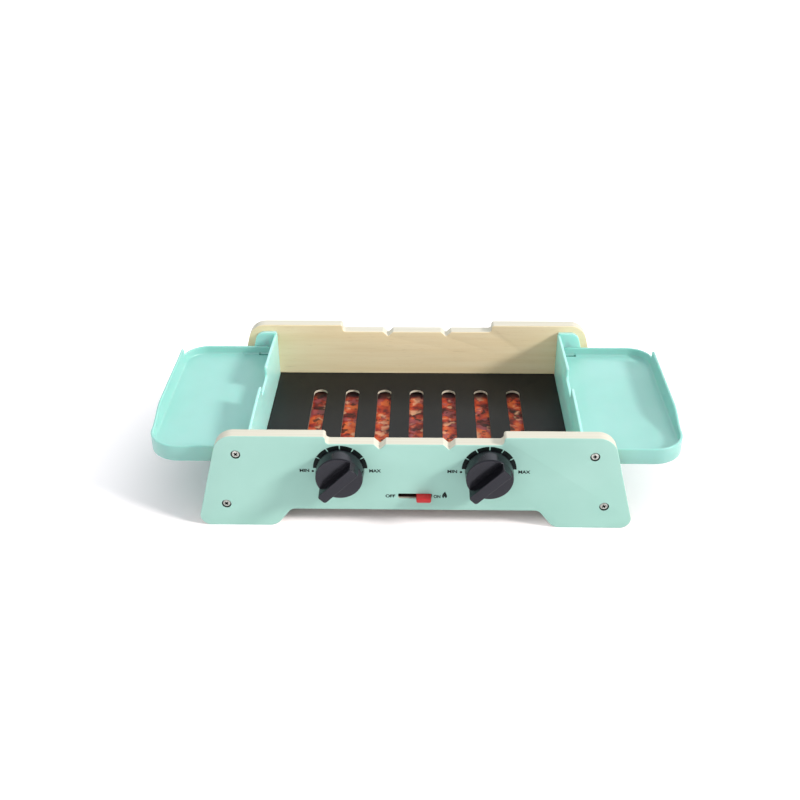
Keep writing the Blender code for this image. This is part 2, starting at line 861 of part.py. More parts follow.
def make_right_tray():
    height = grip_top + overrun - tray_bottom
    tray = outline_solid("right_tray", [tray_plan(0, tray_inner_x)], height,
                         plane_xy(tray_bottom + height / 2), parts, mint_plastic)
    length = tray_outer_x - tray_inner_x + 2 * overrun
    combine(tray, outline_solid("tray_side_view", [tray_silhouette()], length,
                                plane_yz((tray_inner_x + tray_outer_x) / 2), cutters), "INTERSECT")
    # The inner end is rounded, so that it clears the wall as the tray folds up.
    span = tray_rear_y - tray_front_y + 2 * overrun
    for name, z, upward in (("upper", tray_rim, 1), ("lower", tray_bottom, -1)):
        cut(tray, outline_solid(f"tray_{name}_end", [end_rounding(z, upward)], span, plane_xz(middle_y),
                                cutters))
    basin_height = grip_top - tray_floor + 2 * overrun
    basin = outline_solid("tray_basin", [tray_plan(tray_wall, tray_inner_x - overrun)], basin_height,
                          plane_xy(tray_floor + basin_height / 2), cutters)
    under_top = tray_floor - tray_floor_thickness
    under_height = under_top - tray_bottom + overrun
    under = outline_solid("tray_underside", [tray_plan(tray_wall, tray_inner_x + tray_wall)], under_height,
                          plane_xy(under_top - under_height / 2), cutters)
    cut(tray, basin, under)
    rib_front = tray_front_y + tray_wall / 2
    rib_rear = tray_rear_y - tray_wall / 2
    slit_end_x = tray_inner_x + slit_length
    for index in range(1, tray_bays):
        x = tray_inner_x + tray_length * index / tray_bays
        join(tray, box(f"tray_rib_{index}", (x, rib_front, tray_bottom + seat_gap),
                       (x + tray_rib_thickness, rib_rear, under_top + fuse_overlap), cutters))
    for name, face, outward in (("front", tray_front_y, -1), ("rear", tray_rear_y, 1)):
        root = face - outward * fuse_overlap
        shoulder = face + outward * (pin_length - pin_tip)
        end = face + outward * pin_length
        pin = rod(name + "_tray_pin", (tray_hinge_x, root, tray_hinge_z),
                  (tray_hinge_x, shoulder, tray_hinge_z), pin_radius, pin_radius, small_sides, cutters)
        tip = rod(name + "_tray_pin_tip", (tray_hinge_x, shoulder - outward * seat_gap, tray_hinge_z),
                  (tray_hinge_x, end, tray_hinge_z), pin_radius, pin_radius - pin_tip, small_sides, cutters)
        join(tray, pin, tip)
        # A slit frees the end of the side wall, so that its pin can spring into the bracket.
        near = face - outward * (tray_wall + slit_inset)
        far = near - outward * slit_width
        low_y, high_y = sorted((near, far))
        top = tray_floor + overrun
        slit = box(name + "_tray_slit", (tray_inner_x - overrun, low_y, tray_bottom - overrun),
                   (slit_end_x, high_y, top), cutters)
        hook_low, hook_high = sorted((far, face - outward * tray_wall))
        hook = box(name + "_tray_slit_end", (slit_end_x - slit_width, hook_low, tray_bottom - overrun),
                   (slit_end_x + seat_gap, hook_high, top), cutters)
        cut(tray, slit, hook)
    return tray


# Screws in the panels

def make_panel_screws():
    seat = head_bore_depth - seat_gap
    reach = panel_thickness - seat + seat_gap + flange_thickness - pilot_floor - seat_gap
    mesh = screw_mesh("panel_screw", screw_head_radius, screw_head_height, screw_head_crown,
                      screw_shank_radius, reach, True)
    for name, face, inward in (("front", front_y, 1), ("rear", rear_y, -1)):
        for index, (x, z) in enumerate(screw_places()):
            spot = Matrix.Translation((x, face + inward * seat, z))
            turn = Matrix.Rotation(inward * math.pi / 2, 4, "X")
            settle(f"{name}_screw_{index + 1}", mesh, spot @ turn, parts)


def make_switch_screws():
    head_seat = card_bottom - seat_gap - tongue_thickness - seat_gap
    reach = tongue_thickness + 2 * seat_gap + switch_shank_reach
    mesh = screw_mesh("switch_screw", switch_head_radius, switch_head_height, switch_head_crown,
                      switch_shank_radius, reach, False)
    items = []
    for name, (x, y) in zip(("left", "right"), switch_screw_places()):
        spot = Matrix.Translation((x, y, head_seat)) @ Matrix.Rotation(math.pi, 4, "X")
        items.append(settle("switch_screw_" + name, mesh, spot, parts))
    return items


make_front_panel()
make_panel("rear_panel", rear_y, -1)
right_bracket = make_right_bracket()
mirrored_copy("left_bracket", right_bracket)
make_plate()
card = make_card()
slider = make_slider()
slide_empty = axis_empty("switch_slide_start", ((button_left + button_right) / 2, front_y, slot_bottom))
hang_on(slide_empty, card, slider, *make_switch_screws())
make_knobs()
right_tray = make_right_tray()
left_tray = mirrored_copy("left_tray", right_tray)
hang_on(axis_empty("right_tray_axis", (tray_hinge_x, middle_y, tray_hinge_z)), right_tray)
hang_on(axis_empty("left_tray_axis", (-tray_hinge_x, middle_y, tray_hinge_z)), left_tray)
make_panel_screws()
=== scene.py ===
# Looks of the toy barbecue grill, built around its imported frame.
from math import asin, ceil, cos, pi, radians, sin, sqrt, tan

import bmesh
import bpy
from mathutils import Matrix, Vector


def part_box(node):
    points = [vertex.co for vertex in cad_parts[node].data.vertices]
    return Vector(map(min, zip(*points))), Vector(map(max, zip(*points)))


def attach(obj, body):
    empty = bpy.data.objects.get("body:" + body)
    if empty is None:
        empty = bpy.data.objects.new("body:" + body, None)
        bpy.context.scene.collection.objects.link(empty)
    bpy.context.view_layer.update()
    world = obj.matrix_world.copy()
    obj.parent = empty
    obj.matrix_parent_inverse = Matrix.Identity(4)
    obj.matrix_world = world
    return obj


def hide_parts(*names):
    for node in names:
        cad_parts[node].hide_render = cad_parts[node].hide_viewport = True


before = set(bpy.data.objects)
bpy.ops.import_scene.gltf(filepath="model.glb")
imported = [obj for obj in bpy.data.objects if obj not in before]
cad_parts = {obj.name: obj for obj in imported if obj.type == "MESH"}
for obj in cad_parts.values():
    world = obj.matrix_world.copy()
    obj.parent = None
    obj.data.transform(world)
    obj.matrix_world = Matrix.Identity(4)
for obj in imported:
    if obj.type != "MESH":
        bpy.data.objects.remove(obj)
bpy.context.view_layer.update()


# Shader and geometry trees

def sums(operation, swapped=False):  # a method that puts wires and numbers into a maths node
    if swapped:
        return lambda wire, other: wire.graph.maths(operation, other, wire)
    return lambda wire, *others: wire.graph.maths(operation, wire, *others)


class Wire:  # one socket of a tree, used in sums
    def __init__(self, graph, socket):
        self.graph = graph
        self.socket = socket

    __add__, __radd__ = sums("ADD"), sums("ADD", True)
    __sub__, __rsub__ = sums("SUBTRACT"), sums("SUBTRACT", True)
    __mul__, __rmul__ = sums("MULTIPLY"), sums("MULTIPLY", True)
    __truediv__, __rtruediv__ = sums("DIVIDE"), sums("DIVIDE", True)
    __mod__, __rmod__ = sums("FLOORED_MODULO"), sums("FLOORED_MODULO", True)
    __gt__, __lt__ = sums("GREATER_THAN"), sums("LESS_THAN")
    __abs__ = sums("ABSOLUTE")


class Graph:  # a node tree that grows by one call for each node
    def __init__(self, tree):
        self.tree = tree

    def node(self, kind, settings=None, inputs=None, output=0):
        node = self.tree.nodes.new(kind)
        for key, value in (settings or {}).items():
            if key == "stops":
                elements = node.color_ramp.elements
                while len(elements) < len(value):
                    elements.new(1)
                for element, (place, color) in zip(elements, value):
                    element.position = place
                    element.color = color
            else:
                setattr(node, key, value)
        for key, value in (inputs or {}).items():
            self.feed(node.inputs[key], value)
        return Wire(self, node.outputs[output])

    def feed(self, socket, value):
        if isinstance(value, Wire):
            self.tree.links.new(value.socket, socket)
        else:
            socket.default_value = value

    def maths(self, operation, *values):
        return self.node("ShaderNodeMath", {"operation": operation}, dict(enumerate(values)))

    def vectors(self, operation, *values, output="Value"):
        return self.node("ShaderNodeVectorMath", {"operation": operation}, dict(enumerate(values)), output)

    def point(self, x, y, z):
        return self.node("ShaderNodeCombineXYZ", None, {0: x, 1: y, 2: z})

    def axes(self, vector=None):
        first = self.node("ShaderNodeSeparateXYZ", None, {0: vector or self.place})
        return [Wire(self, socket) for socket in first.socket.node.outputs]


class Finish(Graph):  # a material
    def __init__(self, name, constants):
        self.material = bpy.data.materials.new(name)
        self.material.use_nodes = True
        super().__init__(self.material.node_tree)
        self.shader = self.tree.nodes["Principled BSDF"]
        for label, value in constants.items():
            self.shader.inputs[label].default_value = value
        self.place = self.node("ShaderNodeTexCoord", output="Object")

    def noise(self, scale, detail=2.0, rough=0.5, vector=None, output=0):
        return self.node("ShaderNodeTexNoise", None, {
            "Vector": vector or self.place, "Scale": scale, "Detail": detail, "Roughness": rough}, output)

    def drawn(self, scale, detail, rough, location=(0, 0, 0)):  # noise drawn out along an axis
        return self.noise(1.0, detail, rough, self.node("ShaderNodeMapping", None, {
            "Vector": self.place, "Scale": scale, "Location": location}))

    def slope(self, value, start, end, low=0.0, high=1.0):  # goes softly from low to high
        return self.node("ShaderNodeMapRange", {"interpolation_type": "SMOOTHSTEP"}, {
            "Value": value, "From Min": start, "From Max": end, "To Min": low, "To Max": high})

    def blend(self, factor, first, second):
        return self.node("ShaderNodeMix", {"data_type": "RGBA"}, {0: factor, 6: first, 7: second}, output=2)

    def ramp(self, value, stops):
        return self.node("ShaderNodeValToRGB", {"stops": stops}, {"Fac": value})

    def dress(self, color, rough, height, depth, strength):
        bump = self.node("ShaderNodeBump", None, {"Height": height, "Distance": depth, "Strength": strength})
        for label, value in (("Base Color", color), ("Roughness", rough), ("Normal", bump)):
            self.feed(self.shader.inputs[label], value)
        return self.material


def tint(*values):  # a colour from 0 to 255 as a screen shows it, made linear
    shares = [value / 255 for value in values]
    linear = [((share + 0.055) / 1.055) ** 2.4 if share > 0.04045 else share / 12.92 for share in shares]
    return (*linear, 1.0)


# Finishes

boardLook = {
    "mint": tint(174, 216, 205), "mintDeep": tint(164, 209, 197), "wood": tint(250, 230, 193),
    "woodDeep": tint(242, 218, 175), "pore": tint(206, 182, 140), "edgeWood": tint(218, 213, 199),
    "edgeDeep": tint(206, 199, 182), "paintDepth": 0.0007, "paintFade": 0.00025, "veneer": 0.0006,
    # painted shade: the switch slot's inside and the screw bores are coloured dark beyond a small depth
    "slotShade": tint(58, 20, 18), "slotShadeDepth": (0.0012, 0.0042),
    "boreShade": tint(42, 54, 48), "boreShadeDepth": 0.0004, "around": 0.0003,
}


def fromScrew(finish, x, z, spot):  # distance from a panel screw's axis, on either side of the middle
    return finish.vectors("LENGTH", finish.point(abs(x) - spot[0], z - spot[1], 0.0))


def boardFinish(name, faceY, inward):
    look = boardLook
    finish = Finish(name, {"Roughness": 0.5, "Specular IOR Level": 0.4})
    x, y, z = finish.axes()
    fibre = finish.drawn((9.0, 160.0, 160.0), 4.0, 0.6)
    bands = finish.drawn((3.0, 34.0, 34.0), 2.0, 0.5, (3.1, 0.4, 1.7))
    pores = finish.drawn((60.0, 900.0, 900.0), 3.0, 0.7, (0.3, 2.0, 5.0))
    grain = finish.slope(fibre * 0.6 + bands * 0.4, 0.35, 0.68)
    wood = finish.blend(grain, look["wood"], look["woodDeep"])
    wood = finish.blend(finish.slope(pores, 0.60, 0.74, 0.0, 0.45), wood, look["pore"])
    layers = finish.drawn((6.0, 1400.0, 30.0), 2.0, 0.5, (0.7, 0.0, 0.3))
    edges = finish.blend(finish.slope(layers, 0.35, 0.7), look["edgeWood"], look["edgeDeep"])
    cloud = finish.slope(finish.noise(14.0, 3.0, 0.55), 0.3, 0.7)
    mint = finish.blend(cloud * 0.55 + fibre * 0.25, look["mint"], look["mintDeep"])
    depth = (y - faceY) * inward + finish.noise(160.0) * 0.0004
    painted = finish.slope(depth, look["paintDepth"], look["paintDepth"] + look["paintFade"], 1.0, 0.0)
    within = finish.slope(depth, panel["thickness"] - look["veneer"], panel["thickness"], 1.0, 0.0)
    bare = finish.blend(within, wood, edges)
    left, right, low, high, _ = panel["slot"]
    near = look["around"]
    inSlot = (x > left - near) * (x < right + near) * (z > low - near) * (z < high + near)
    # painted shade: the slot's inner walls turn dark red-brown with depth
    bare = finish.blend(inSlot * finish.slope(depth, *look["slotShadeDepth"]), bare, look["slotShade"])
    for spot in panel["screws"]:
        # painted shade: the bore round each screw head is coloured dark below its rim, and the mint paint is
        # kept out of it
        bore = (fromScrew(finish, x, z, spot) < panel["headBore"] + near) * (depth > look["boreShadeDepth"])
        bare = finish.blend(bore, bare, look["boreShade"])
        painted = painted * (1.0 - bore)
    stipple = finish.noise(1400.0, 2.0, 0.6)
    rough = painted * (0.42 + cloud * 0.10) + (1 - painted) * (0.62 + grain * 0.12)
    height = painted * stipple * 0.35 + fibre * (1 - painted * 0.75) + (1 - painted) * pores * 0.5
    return finish.dress(finish.blend(painted, bare, mint), rough, height, 0.00012, 0.45)


mouldedLook = {
    "thinMint": {"Subsurface Weight": 0.6, "Subsurface Radius": (0.45, 1.0, 0.85),
                 "Subsurface Scale": 0.003, "Specular IOR Level": 0.6},
    "clearMint": {"Subsurface Weight": 0.8, "Subsurface Radius": (0.55, 1.0, 0.9),
                  "Subsurface Scale": 0.006, "Specular IOR Level": 0.6},
    "darkGloss": {"IOR": 1.6, "Specular IOR Level": 0.33, "Specular Tint": (0.86, 0.87, 1.0, 1.0)},
    # painted shade: the colour of the slits' cut walls
    "gap": tint(58, 146, 134),
}


def mouldedFinish(name, main, deep, rough, peel=0.35, constants=None, shadedGaps=None):
    finish = Finish(name, {"Roughness": rough, "Specular IOR Level": 0.5, **mouldedLook.get(constants, {})})
    cloud = finish.slope(finish.noise(22.0, 3.0, 0.5), 0.32, 0.68)
    grainy = finish.noise(2600.0)
    worn = finish.slope(finish.drawn((420.0, 60.0, 420.0), 4.0, 0.7), 0.62, 0.80)
    color = finish.blend(cloud * 0.5, tint(*main), tint(*deep))
    # painted shade: the recesses the given mask marks, such as the tray slits, are coloured dark teal
    if shadedGaps:
        color = finish.blend(shadedGaps(finish), color, mouldedLook["gap"])
    return finish.dress(color, rough + cloud * 0.06 + worn * 0.12, grainy + worn * 0.3, 0.00006, peel)


charcoalLook = {
    "dark": tint(16, 16, 17), "worn": tint(24, 24, 25), "dust": tint(50, 50, 51), "skin": (0.00055, 0.00030),
    "board": tint(214, 206, 190), "boardDeep": tint(182, 172, 152), "sideShadeShare": 0.72, "sideShadeFade": 0.004,
    "sheen": (0.87, 0.92, 1.0, 1.0),
}


def charcoalFinish(name):  # painted shade: the long sides of the slots are coloured partly towards the dark paint
    look = charcoalLook
    finish = Finish(name, {"Roughness": 0.4, "Specular IOR Level": 0.25, "Specular Tint": look["sheen"]})
    x, y, z = finish.axes()
    speckle = finish.noise(1900.0, 3.0, 0.7)
    cloud = finish.slope(finish.noise(11.0, 3.0, 0.6), 0.3, 0.7)
    streak = finish.drawn((500.0, 18.0, 500.0), 4.0, 0.65)
    dust = finish.slope(speckle, 0.60, 0.82)
    dark = finish.blend(cloud * 0.5 + finish.slope(streak, 0.55, 0.8, 0.0, 0.4), look["dark"], look["worn"])
    dark = finish.blend(dust * 0.30, dark, look["dust"])
    fibres = finish.drawn((260.0, 260.0, 1500.0), 4.0, 0.7)
    board = finish.blend(finish.slope(fibres, 0.35, 0.65), look["board"], look["boardDeep"])
    # painted shade: the straight long sides of the slots darken, while the round ends stay bare board
    away = abs(y - plate["middleY"])
    sides = finish.slope(away, plate["straight"] - look["sideShadeFade"], plate["straight"], 1.0, 0.0)
    board = finish.blend(sides * look["sideShadeShare"], board, dark)
    below, above = look["skin"]
    painted = finish.slope(z + finish.noise(300.0) * 0.0003, plate["top"] - below, plate["top"] - above)
    rough = painted * (0.40 + cloud * 0.10 + dust * 0.15) + (1 - painted) * 0.8
    return finish.dress(finish.blend(painted, board, dark), rough, speckle + fibres * 0.4, 0.00006, 0.35)


emberLook = {
    "litShare": 0.54, "litFade": 0.02, "topZ": 0.0338, "skin": 0.0003, "drift": 0.008,
    "glow": ((0.0, tint(62, 22, 24)), (0.25, tint(124, 38, 36)), (0.5, tint(176, 52, 38)),
             (0.75, tint(206, 76, 42)), (1.0, tint(226, 108, 56))),
    "coal": ((0.0, tint(26, 22, 24)), (0.55, tint(44, 40, 40)), (1.0, tint(86, 78, 76))),
    "ash": tint(162, 82, 88), "spark": tint(240, 176, 136), "char": tint(36, 17, 18),
    "underPlateShade": (0.0665, 0.0755), "side": tint(170, 150, 122), "sideDeep": tint(128, 106, 80),
}


def emberFinish(name):
    look = emberLook
    finish = Finish(name, {"Roughness": 0.45, "Specular IOR Level": 0.25})
    x, y, z = finish.axes()
    drift = finish.noise(60.0, 3.0, 0.6, output="Color")
    spread = finish.node("ShaderNodeVectorMath", {"operation": "SCALE"}, {0: drift, "Scale": look["drift"]})
    bent = finish.vectors("ADD", finish.place, spread, output="Vector")

    def cloud(scale, seed, detail=2.0):
        moved = finish.vectors("ADD", bent, (seed, seed * 0.7, 0.0), output="Vector")
        return finish.noise(scale, detail, 0.55, moved)

    broad, fine = cloud(64.0, 0.0), cloud(240.0, 0.3, 3.0)
    glow = finish.ramp(finish.slope(broad * 0.8 + fine * 0.2, 0.34, 0.64), look["glow"])
    glow = finish.blend(finish.slope(cloud(75.0, 0.9), 0.54, 0.60, 0.0, 0.75), glow, look["ash"])
    glow = finish.blend(finish.slope(cloud(110.0, 1.7), 0.57, 0.65, 0.0, 0.85), glow, look["char"])
    cracks = finish.node("ShaderNodeTexVoronoi", {"feature": "DISTANCE_TO_EDGE"},
                         {"Vector": bent, "Scale": 58.0})
    sparks = finish.slope(cracks, 0.0, 0.20, 0.85, 0.0) * finish.slope(cloud(85.0, 2.6), 0.53, 0.63)
    glow = finish.blend(sparks, glow, look["spark"])
    coal = finish.ramp(fine, look["coal"])
    away = abs((x / plate["pitch"] + 0.5) % 1.0 - 0.5)
    half, fade = look["litShare"] / 2, look["litFade"]
    lit = finish.slope(away + (fine - 0.5) * 0.04, half - fade, half + fade, 1.0, 0.0)
    # painted shade: the card darkens towards the slots' rear ends, where the plate shades it
    plateShade = finish.slope(y + (fine - 0.5) * 0.007, *look["underPlateShade"], 0.0, 0.9)
    shown = finish.blend(plateShade, finish.blend(lit, coal, glow), look["coal"][1][1])
    onTop = z > look["topZ"] - look["skin"]
    side = finish.blend(finish.noise(900.0, 3.0, 0.7), look["side"], look["sideDeep"])
    color, rough = finish.blend(onTop, side, shown), 0.38 + fine * 0.15
    return finish.dress(color, rough, finish.noise(1500.0), 0.00005, 0.3)


def metalFinish(name, shadedGaps=None):
    finish = Finish(name, {"Metallic": 1.0, "Roughness": 0.35})
    cloud = finish.slope(finish.noise(420.0, 4.0, 0.65), 0.3, 0.7)
    color = finish.blend(cloud, tint(198, 200, 194), tint(154, 156, 150))
    # painted shade: the recesses the given mask marks, such as screw crosses, are coloured near black
    if shadedGaps:
        color = finish.blend(shadedGaps(finish), color, tint(26, 28, 26))
    return finish.dress(color, 0.26 + cloud * 0.22, finish.noise(5200.0, 3.0, 0.6), 0.00004, 0.4)


def inkFinish(name):
    finish = Finish(name, {"Roughness": 0.55, "Specular IOR Level": 0.2})
    fade = finish.slope(finish.noise(900.0, 3.0, 0.6), 0.35, 0.75)
    color = finish.blend(fade * 0.35, tint(5, 15, 14), tint(28, 46, 42))
    return finish.dress(color, 0.5 + fade * 0.15, finish.noise(1600.0), 0.00002, 0.2)


# painted light: the bracket plastic is a paler, brighter copy of the same mint as the trays, standing in for
# light on and through the thin walls
wallPlastic = mouldedFinish("wallPlastic", (176, 226, 219), (169, 222, 213), 0.34, constants="clearMint")
redPlastic = mouldedFinish("redPlastic", (200, 32, 36), (186, 25, 31), 0.30)
blackPlastic = mouldedFinish("blackPlastic", (12, 11, 16), (8, 7, 11), 0.20, 0.15, "darkGloss")
zincMetal = metalFinish("zincMetal")


# Making meshes

quarterTurn = pi / 2
sharpAngle = 34.0  # degrees, edges that turn further stay sharp
shift = Matrix.Translation


def turned(angle, axis):
    return Matrix.Rotation(angle, 4, axis)


def planeXY(z):
    return shift((0, 0, z))


def planeXZ(y):
    return shift((0, y, 0)) @ turned(quarterTurn, "X")


def planeYZ(x):
    return shift((x, 0, 0)) @ Matrix(((0, 0, 1), (1, 0, 0), (0, 1, 0))).to_4x4()


def quarter(parts):  # sine and cosine at equal steps of a quarter turn
    angles = [quarterTurn * part / parts for part in range(parts + 1)]
    return [(sin(angle), cos(angle)) for angle in angles]


def rounded(corners, step=radians(7.5)):  # outline through (u, v, radius), with an arc at each corner
    outline = []
    for index, (u, v, radius) in enumerate(corners):
        corner = Vector((u, v))
        if radius == 0:
            outline.append(corner)
            continue
        before = (Vector(corners[index - 1][:2]) - corner).normalized()
        after = (Vector(corners[(index + 1) % len(corners)][:2]) - corner).normalized()
        half = before.angle(after) / 2
        start = corner + before * (radius / tan(half))
        end = corner + after * (radius / tan(half))
        center = corner + (before + after).normalized() * (radius / sin(half))
        turn = pi - 2 * half
        count = max(3, ceil(turn / step))
        sign = 1 if (start - center).cross(end - center) > 0 else -1
        for part in range(count + 1):
            outline.append(center + Matrix.Rotation(sign * turn * part / count, 2) @ (start - center))
    return outline


def rectangle(left, right, low, high, radius):
    return rounded([(left, low, radius), (right, low, radius), (right, high, radius), (left, high, radius)])


def addObject(name, data, place=Matrix()):
    item = bpy.data.objects.new(name, data)
    bpy.context.scene.collection.objects.link(item)
    item.matrix_world = place
    return item


def baked(item, *tools):  # an object's plain mesh, with its place in it; the object and its tools go
    bpy.context.view_layer.update()
    mesh = bpy.data.meshes.new_from_object(item.evaluated_get(bpy.context.evaluated_depsgraph_get()))
    mesh.transform(item.matrix_world)
    for gone in (item, *tools):
        bpy.data.objects.remove(gone, do_unlink=True)
    return mesh


def smoothed(mesh, angle=sharpAngle):
    mesh.shade_smooth()
    mesh.set_sharp_from_angle(angle=radians(angle))
    return mesh


def settled(name, shape):
    mesh = bpy.data.meshes.new(name)
    shape.to_mesh(mesh)
    shape.free()
    return mesh


def closed(name, shape, near, mend=None):  # merges double points and turns the faces outward
    bmesh.ops.remove_doubles(shape, verts=shape.verts, dist=near)
    if mend:
        mend(shape)
    bmesh.ops.recalc_face_normals(shape, faces=shape.faces)
    return settled(name, shape)


def soften(item, width, segments):
    if width:
        bevel = item.modifiers.new("soften", "BEVEL")
        bevel.width = width
        bevel.segments = segments
        bevel.limit_method = "ANGLE"
        bevel.angle_limit = radians(50.0)
        bevel.use_clamp_overlap = True
    return item


def flatSolid(name, loops, thickness, place, edge=0.0, segments=3):  # outline with holes, given a thickness
    curve = bpy.data.curves.new(name, "CURVE")
    curve.dimensions = "2D"
    curve.fill_mode = "BOTH"
    curve.extrude = thickness / 2
    for loop in loops:
        spline = curve.splines.new("POLY")
        spline.points.add(len(loop) - 1)
        for point, (u, v) in zip(spline.points, loop):
            point.co = (u, v, 0, 1)
        spline.use_cyclic_u = True
    shape = bmesh.new()
    shape.from_mesh(baked(addObject(name + "Flat", curve)))
    mesh = closed(name, shape, 1e-6, lambda shape: bmesh.ops.dissolve_limit(
        shape, angle_limit=0.001, verts=shape.verts, edges=shape.edges))
    return soften(addObject(name, mesh, place), edge, segments)


def boxSolid(name, low, high, edge=0.0, segments=3):
    shape = bmesh.new()
    size = [b - a for a, b in zip(low, high)]
    bmesh.ops.create_cube(shape, size=1, matrix=Matrix.Diagonal((*size, 1)))
    place = shift([(a + b) / 2 for a, b in zip(low, high)])
    return soften(addObject(name, settled(name, shape), place), edge, segments)


def rodSolid(name, spot, startY, endY, radius, endRadius=None, sides=40):  # along Y at (x, z)
    start, end = [Vector((spot[0], y, spot[1])) for y in (startY, endY)]
    along = end - start
    shape = bmesh.new()
    bmesh.ops.create_cone(shape, cap_ends=True, segments=sides, radius1=radius,
                          radius2=radius if endRadius is None else endRadius, depth=along.length)
    place = shift((start + end) / 2) @ along.to_track_quat("Z", "Y").to_matrix().to_4x4()
    return addObject(name, settled(name, shape), place)


def turnedMesh(name, profile, sides, ring=False):  # turned about Z from (radius, height), top to bottom
    shape = bmesh.new()
    points = [shape.verts.new((radius, 0, height)) for radius, height in profile]
    edges = [shape.edges.new(pair) for pair in zip(points, points[1:])]
    if ring:
        edges.append(shape.edges.new((points[-1], points[0])))
    bmesh.ops.spin(shape, geom=points + edges, cent=(0, 0, 0), axis=(0, 0, 1), angle=2 * pi,
                   steps=sides, use_merge=True, use_duplicate=False)
    return closed(name, shape, 1e-6)


def combine(target, operation, *tools):
    for tool in tools:
        boolean = target.modifiers.new(operation, "BOOLEAN")
        boolean.operation = operation
        boolean.solver = "EXACT"
        boolean.object = tool
    return list(tools)


def finished(name, item, material, tools=(), angle=sharpAngle):  # one plain mesh with its place in it
    mesh = baked(item, *tools)
    mesh.materials.clear()
    mesh.materials.append(material)
    mesh.name = name
    return addObject(name, smoothed(mesh, angle))


def joined(name, items, material):  # several objects as one mesh
    shape = bmesh.new()
    for item in items:
        shape.from_mesh(baked(item))
    mesh = settled(name, shape)
    mesh.materials.append(material)
    return addObject(name, smoothed(mesh))


def otherHand(name, source):
    mesh = source.data.copy()
    mesh.transform(Matrix.Diagonal((-1, 1, 1, 1)))
    mesh.flip_normals()
    mesh.name = name
    return addObject(name, mesh)


def place(item, body, *nodes, slot):
    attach(item, body)
    if nodes:
        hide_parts(*nodes)


# Geometry node trees

class Pattern(Graph):  # a geometry node tree with named inputs
    def __init__(self, name, sockets):
        super().__init__(bpy.data.node_groups.new(name, "GeometryNodeTree"))
        face = self.tree.interface
        face.new_socket(name="Geometry", in_out="INPUT", socket_type="NodeSocketGeometry")
        self.keys = {}
        for label, kind in {**sockets, "Material": "Material"}.items():
            made = face.new_socket(name=label, in_out="INPUT", socket_type="NodeSocket" + kind)
            self.keys[label] = made.identifier
        face.new_socket(name="Geometry", in_out="OUTPUT", socket_type="NodeSocketGeometry")
        self.entry = self.tree.nodes.new("NodeGroupInput")
        self.exit = self.tree.nodes.new("NodeGroupOutput")

    def given(self, *labels):
        wires = [Wire(self, self.entry.outputs[label]) for label in labels]
        return wires if len(wires) > 1 else wires[0]

    def points(self, count, spot):
        points = self.node("GeometryNodePoints", None, {"Count": count})
        return self.node("GeometryNodeSetPosition", None, {"Geometry": points, "Position": spot})

    def close(self, points, copied, turn=(0.0, 0.0, 0.0)):  # ends the tree with a copy on each point
        copies = self.node("GeometryNodeInstanceOnPoints", None, {
            "Points": points, "Instance": copied, "Rotation": turn})
        plain = self.node("GeometryNodeRealizeInstances", None, {"Geometry": copies})
        dressed = self.node("GeometryNodeSetMaterial", None, {
            "Geometry": plain, "Material": self.given("Material")})
        self.feed(self.exit.inputs["Geometry"], dressed)
        return self

    def run(self, name, mesh, material, values):  # the tree on a mesh, made a plain mesh
        item = addObject(name + "Seed", mesh)
        modifier = item.modifiers.new("pattern", "NODES")
        modifier.node_group = self.tree
        for label, value in {**values, "Material": material}.items():
            modifier[self.keys[label]] = value
        made = baked(item)
        made.name = name
        return made


def rowPattern():  # copies of the given mesh in a straight row
    row = Pattern("copyRow", {"Count": "Int", "Start": "Vector", "Step": "Vector"})
    count, start, step = row.given("Count", "Start", "Step")
    line = row.node("GeometryNodeMeshLine", None, {"Count": count, "Start Location": start, "Offset": step})
    return row.close(line, row.given("Geometry"))


copyRow = rowPattern()


# Panels

panel = {
    "frontY": -0.09925, "rearY": 0.12625, "thickness": 0.012, "height": 0.0953, "edge": 0.0007,
    "topHalf": 0.1716, "baseHalf": 0.1963, "topRadius": 0.018, "footRadius": 0.0095,
    "recessHalf": 0.0772, "recessDepth": 0.0074, "recessRadius": 0.0025, "recessFoot": 0.0035,
    "restX": 0.0301, "restWidth": 0.0104, "restDepth": 0.0052, "restRadius": 0.0012,
    "archHeight": 0.0185, "archHalf": 0.1105, "archRadius": 0.0075,
    "footInner": 0.1245, "footInnerRadius": 0.012, "past": 0.002,
    "screws": ((0.155973, 0.0765), (0.168457, 0.0237)), "headBore": 0.0043, "headDepth": 0.0032,
    "knobX": 0.065, "knobZ": 0.0626, "shaftBore": 0.0041,
    "slot": (-0.0146, 0.0154, 0.0310, 0.0364, 0.0012), "groove": (0.1451, 0.0357, 0.0393, 0.003),
}
frontBoard = boardFinish("frontBoard", panel["frontY"], 1)
rearBoard = boardFinish("rearBoard", panel["rearY"], -1)


def panelOutline():
    p = panel
    floor = p["height"] - p["recessDepth"]
    half = [
        (p["archHalf"], p["archHeight"], p["archRadius"]),
        (p["footInner"], 0, p["footInnerRadius"]),
        (p["baseHalf"], 0, p["footRadius"]),
        (p["topHalf"], p["height"], p["topRadius"]),
        (p["recessHalf"], p["height"], p["recessRadius"]),
        (p["recessHalf"], floor, p["recessFoot"]),
        (p["restX"] + p["restWidth"] / 2, floor, p["restRadius"]),
        (p["restX"], floor - p["restDepth"], p["restRadius"]),
        (p["restX"] - p["restWidth"] / 2, floor, p["restRadius"]),
    ]
    return rounded(half + [(-u, v, radius) for u, v, radius in reversed(half)])


